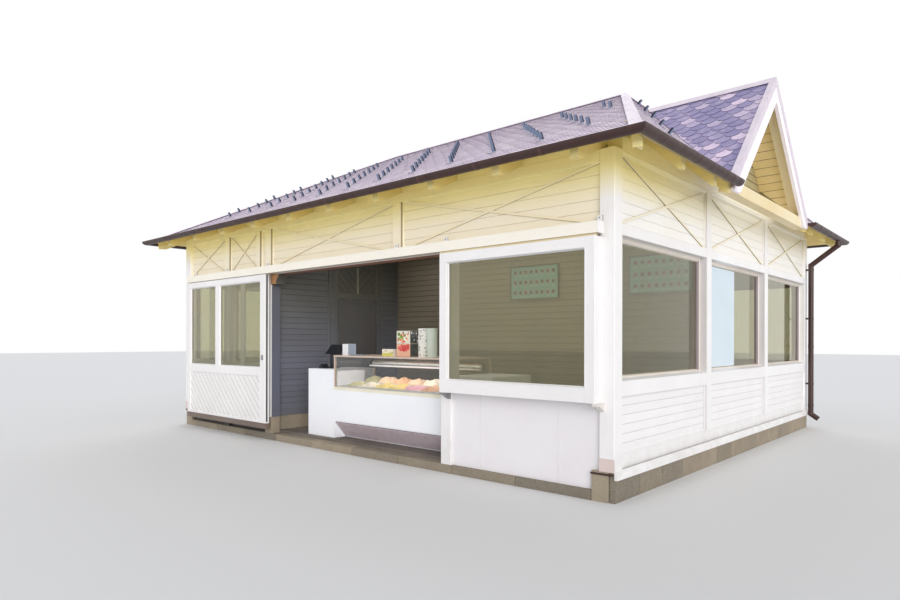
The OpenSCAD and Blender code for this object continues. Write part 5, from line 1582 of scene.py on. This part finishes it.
# Place along the case, colour and number of dark specks of each stack of tubs
TUB_STACKS = ((1.63, (0.96, 0.95, 0.92), 80), (1.79, (0.86, 0.9, 0.84), 0))


def make_tubs():
    tubs = Solids("tub_stacks", 62, "printed_card", "goods_card", "counter_goods")
    for along, tone, specks in TUB_STACKS:
        middle = Vector((CASE_LOW.x + along, CASE_LOW.y + 0.24, GOODS_Z))
        tubs.paint = tone
        for k in range(TUB_LEVELS):
            low = middle + Z * (STACK_H * k / TUB_LEVELS)
            tubs.rod(low, low + Z * (STACK_H / TUB_LEVELS - 0.001), TUB_FOOT_R, 28, TUB_RIM_R)
        tubs.paint = (0.3, 0.33, 0.3)
        for k in range(specks):
            angle = tubs.random.uniform(0, 2 * math.pi)
            z = tubs.random.uniform(0.01, 0.38)
            out = Vector((math.cos(angle), math.sin(angle), 0))
            place = middle + Z * z + out * 0.071
            tubs.rod(place, place + out * 0.0045, tubs.random.uniform(0.003, 0.009), 7)


SCREEN_LOW, SCREEN_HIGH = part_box("menu_screens")
SCREEN_W = 0.914
SCREEN_EDGE = 0.014
SCREEN_PROFILE = [(0, 0), (SCREEN_EDGE, 0), (SCREEN_EDGE, 0.005), (0.011, 0.008), (0, 0.008)]
TEAL = (0.36, 0.53, 0.5)
SPOT_RING = (0.6, 0.58, 0.56)
TEXT_BAR = (0.6, 0.7, 0.66)
SPOTS = ((0.26, 0.14, 0.16), (0.2, 0.26, 0.2), (0.4, 0.2, 0.22), (0.17, 0.15, 0.17))
SPOT_ROWS = 3
SPOT_COLUMNS = 8
ROW_STEP = 0.165
COLUMN_STEP = 0.104


def make_screens():
    """Menu screens with a plain layout of round spots and bars."""
    cases = Solids("screen_cases", 63, "black_plastic", "screen_plastic", "menu_screens")
    pictures = Solids("screen_pictures", 64, "screen_picture", "screen_plastic")
    wall = Wall(X, -SCREEN_LOW.y)
    depth = SCREEN_HIGH.y - SCREEN_LOW.y
    z = (SCREEN_LOW.z, SCREEN_HIGH.z)
    for left in (SCREEN_LOW.x, SCREEN_HIGH.x - SCREEN_W):
        u = (left, left + SCREEN_W)
        wall.bar(cases, (u[0] + 0.002, u[1] - 0.002), (0.006, depth), (z[0] + 0.002, z[1] - 0.002))
        wall.bead(cases, u, z, 0.008, SCREEN_PROFILE)
        pictures.paint = TEAL
        inner = [(low + SCREEN_EDGE, high - SCREEN_EDGE) for low, high in (u, z)]
        wall.bar(pictures, inner[0], (0.004, 0.006), inner[1], chamfer=0)
        for row in range(SPOT_ROWS):
            for column in range(SPOT_COLUMNS):
                middle = left + 0.095 + column * COLUMN_STEP
                level = z[0] + 0.045 + row * ROW_STEP
                centre = wall.point(middle, 0.004, level + 0.065)
                pictures.paint = SPOT_RING
                pictures.rod(centre, centre + wall.out * 0.001, 0.037, 20)
                pictures.paint = SPOTS[(2 * row + column) % len(SPOTS)]
                pictures.rod(centre + wall.out * 0.001, centre + wall.out * 0.0016, 0.031, 20)
                pictures.paint = TEXT_BAR
                text = (middle - 0.03, middle + 0.03)
                wall.bar(pictures, text, (0.003, 0.004), (level, level + 0.008), chamfer=0)


# Colours

WHITE = ((0.965, 0.96, 0.96), (0.925, 0.915, 0.915))
FRIEZE = ((0.975, 0.97, 0.96), (0.96, 0.945, 0.91))
STEEL = ((0.6, 0.6, 0.6), (0.42, 0.4, 0.38))
# The look of each node that keeps its own shape
NODE_LOOKS = {"base_boards": "white_level", "leaf_track": "track_white", "gable_barges": "barge_white",
              "frieze_braces": "brace_timber", "rafters": "rafter_timber", "gable_frames": "cream_level",
              "corbel": "grey_level", "door_frame": "grey_level", "service_door": "grey_level",
              "floor_slab": "floor_screed", "roof_caps": "cap_sheet", "gutters": "gutter_brown",
              "downpipes": "gutter_brown", "leaf_hangers": "steel", "track_fittings": "track_steel",
              "window_glass": "window_glass", "leaf_glass": "front_glass", "display_glass": "case_glass",
              "counter": "white_laminate", "counter_grille": "grille_paint", "display_case": "case_steel"}


def make_outer_looks():
    """Paint and wood of the walls, the roof and the leaf."""
    timber("white_timber", *WHITE, painted_eaves_light=1, joints=0.15)
    timber("recessed_timber", *WHITE, painted_eaves_light=1, joints=0.15, painted_reveal_shadow=0.32)
    timber("leaf_boards", *WHITE, joints=0.8)
    timber("barge_white", (1.0, 0.975, 0.99), (0.99, 0.95, 0.98), ground_dirt=0, worn=0.1)
    timber("white_level", *WHITE, level=True)
    # Painted shade darkens the track's top and underside
    timber("track_white", (0.985, 0.965, 0.92), (0.955, 0.93, 0.88), level=True, painted_side_shadow=0.6)
    timber("post_feet", (0.9, 0.83, 0.81), (0.8, 0.73, 0.7), ground_dirt=0.1)
    timber("cream_level", (0.94, 0.88, 0.72), (0.9, 0.8, 0.58), level=True, ground_dirt=0)
    timber("frieze_boards", *FRIEZE, ground_dirt=0, painted_eaves_light=1, joints=0.12, painted_reveal_shadow=0.25, painted_front_light=0.55)
    # Braces and frieze posts: painted shadow on their sides
    timber("brace_timber", (0.97, 0.94, 0.86), (0.94, 0.9, 0.78), level=True, ground_dirt=0, painted_eaves_light=0.6,
           painted_side_shadow=0.8, painted_front_light=0.55)
    timber("plate_timber", *FRIEZE, ground_dirt=0, painted_eaves_light=1, painted_front_light=0.55)
    timber("frieze_posts", *FRIEZE, ground_dirt=0, painted_eaves_light=1, painted_front_light=0.55, painted_side_shadow=0.9,
           side_shadow_axis="X")
    # The rafters' yellow is painted eaves light on white rafters
    timber("rafter_timber", (0.95, 0.88, 0.6), (0.88, 0.8, 0.5), level=True, ground_dirt=0)
    timber("soffit_boards", (0.98, 0.9, 0.62), (0.94, 0.82, 0.5), ground_dirt=0)
    timber("gable_soffit", (1.0, 0.91, 0.68), (0.95, 0.84, 0.56), ground_dirt=0, joints=1,
           joint=(0.4, 0.33, 0.24))
    # Gable boards: cream darkened to olive grey, partly painted shade of the gable recess
    timber("gable_boards", (0.74, 0.7, 0.56), (0.66, 0.62, 0.47), ground_dirt=0, joints=1)
    timber("sash_paint", (0.94, 0.91, 0.87), (0.88, 0.82, 0.76), worn=0.3, painted_reveal_shadow=0.95)
    timber("kick_strip", (0.47, 0.41, 0.38), (0.38, 0.33, 0.3), ground_dirt=0.2)
    timber("foot_boards", (0.2, 0.17, 0.16), (0.15, 0.12, 0.11), ground_dirt=0)
    timber("bare_wood", (0.78, 0.6, 0.42), (0.68, 0.48, 0.32))
    timber("red_wood", (0.6, 0.42, 0.34), (0.5, 0.34, 0.28))
    # Tile edge colours are painted shadow, and the gable slopes' darker, bluer copy is painted shade
    tiles("main_tiles", (0.87, 0.81, 0.89), (0.94, 0.89, 0.95), (0.99, 0.95, 0.98), (0.4, 0.33, 0.41))
    tiles("end_tiles", (0.88, 0.84, 0.9), (0.94, 0.9, 0.94), (0.98, 0.95, 0.97), (0.48, 0.42, 0.5))
    tiles("gable_tiles", (0.52, 0.5, 0.66), (0.6, 0.57, 0.71), (0.88, 0.81, 0.89), (0.2, 0.17, 0.3))
    stone("stone_blocks", (0.6, 0.55, 0.475), (0.42, 0.4, 0.36))
    concrete("floor_screed", (0.5, 0.46, 0.43), (0.4, 0.37, 0.35))


def make_inner_looks():
    """Grey paint of the sales room, with painted shadow high up in it."""
    timber("grey_boards", (0.44, 0.45, 0.5), (0.39, 0.39, 0.42), worn=0.1, painted_high_shadow=0.8, joints=0.2,
           joint=INNER_JOINT)
    timber("grey_trims", (0.42, 0.43, 0.47), (0.38, 0.38, 0.41), worn=0.1, painted_high_shadow=1)
    timber("jamb_lining", (0.4, 0.41, 0.475), (0.36, 0.37, 0.42), worn=0.1, painted_high_shadow=0.3)
    timber("overlight_bar", (0.55, 0.54, 0.47), (0.5, 0.48, 0.42), worn=0.1)
    timber("room_boards", (0.55, 0.51, 0.45), (0.5, 0.46, 0.38), worn=0.1, joints=0.6, joint=INNER_JOINT)
    # The top light's boards take the painted shadow colour as their own
    timber("overlight_boards", PAINTED_HIGH_SHADOW, (0.32, 0.31, 0.28), worn=0.1, joints=0.7, joint=INNER_JOINT)
    timber("door_grey", (0.37, 0.365, 0.375), (0.33, 0.315, 0.31), worn=0.1, painted_high_shadow=0.5)
    timber("grey_level", (0.39, 0.385, 0.39), (0.35, 0.335, 0.33), level=True, worn=0.1, painted_high_shadow=0.6)


def make_other_looks():
    """Glass, metal, plastic, card and ice cream."""
    # Olive glass and warm reflection tints are painted reflection
    glass("window_glass", (0.8, 0.79, 0.68), (0.94, 0.9, 0.7), 1.65)
    glass("front_glass", (0.84, 0.83, 0.74), (0.95, 0.92, 0.78), 2.0)
    glass("case_glass", (1.0, 1.0, 1.0))
    metal("cap_sheet", (0.87, 0.83, 0.87), (0.74, 0.7, 0.78))
    metal("gutter_brown", (0.25, 0.155, 0.14), (0.17, 0.11, 0.1), roughness=0.35)
    metal("gutter_bands", (0.33, 0.22, 0.2), (0.22, 0.15, 0.13), roughness=0.35)
    metal("steel", *STEEL, metallic=0.7)
    metal("track_steel", *STEEL, metallic=0.4, pale_beyond=3.5)
    metal("bright_steel", (0.8, 0.8, 0.78), (0.62, 0.6, 0.56), metallic=0.9, roughness=0.22)
    metal("case_steel", (0.86, 0.78, 0.72), (0.78, 0.68, 0.6), metallic=0.4, roughness=0.3)
    # Its dark colour serves the stains and the painted shadow on the hooks' ends
    hook_metal("hook_metal", (0.5, 0.56, 0.66), (0.1, 0.08, 0.15))
    grille_paint("grille_paint", (0.86, 0.8, 0.82), (0.5, 0.45, 0.48))
    smooth("beige_band", (0.94, 0.92, 0.84), (0.88, 0.85, 0.76))
    smooth("white_laminate", (0.98, 0.985, 1.0), (0.95, 0.955, 0.98))
    smooth("black_plastic", (0.1, 0.11, 0.13), (0.17, 0.18, 0.2), 0.25)
    smooth("panel_sheets", (0.93, 0.92, 0.93), (0.9, 0.87, 0.88))
    smooth("frosted_film", (0.84, 0.89, 0.92), (0.8, 0.86, 0.9), 0.5)
    smooth("pan_rims", (0.9, 0.89, 0.86), (0.82, 0.8, 0.77), 0.25)
    printed("printed_card")
    printed("ice_cream", 0.6, mottle=0.35, grains=60)
    printed("screen_picture", 0.15, glow=0.25, mottle=0.05)


make_camera()
make_light()
make_floor()
make_outer_looks()
make_inner_looks()
make_other_looks()
for node_name, look_name in NODE_LOOKS.items():
    node_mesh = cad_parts[node_name].data
    node_mesh.materials.clear()
    node_mesh.materials.append(LOOKS[look_name])

make_roof()
make_timbers()
make_boarding()
make_sheets()
make_plinth()
make_windows()
make_gables()
make_leaf()
make_track_details()
make_snow_hooks()
make_cap_details()
make_gutter_details()
make_partition()
make_door_surround()
make_room_wall()
make_door_face()
make_corbel_face()
make_ice()
make_grille_trims()
make_case_fittings()
make_till()
make_boxes()
make_tubs()
make_screens()
for made_piece in Solids.made:
    made_piece.build()

bpy.context.scene.view_settings.view_transform = "Standard"
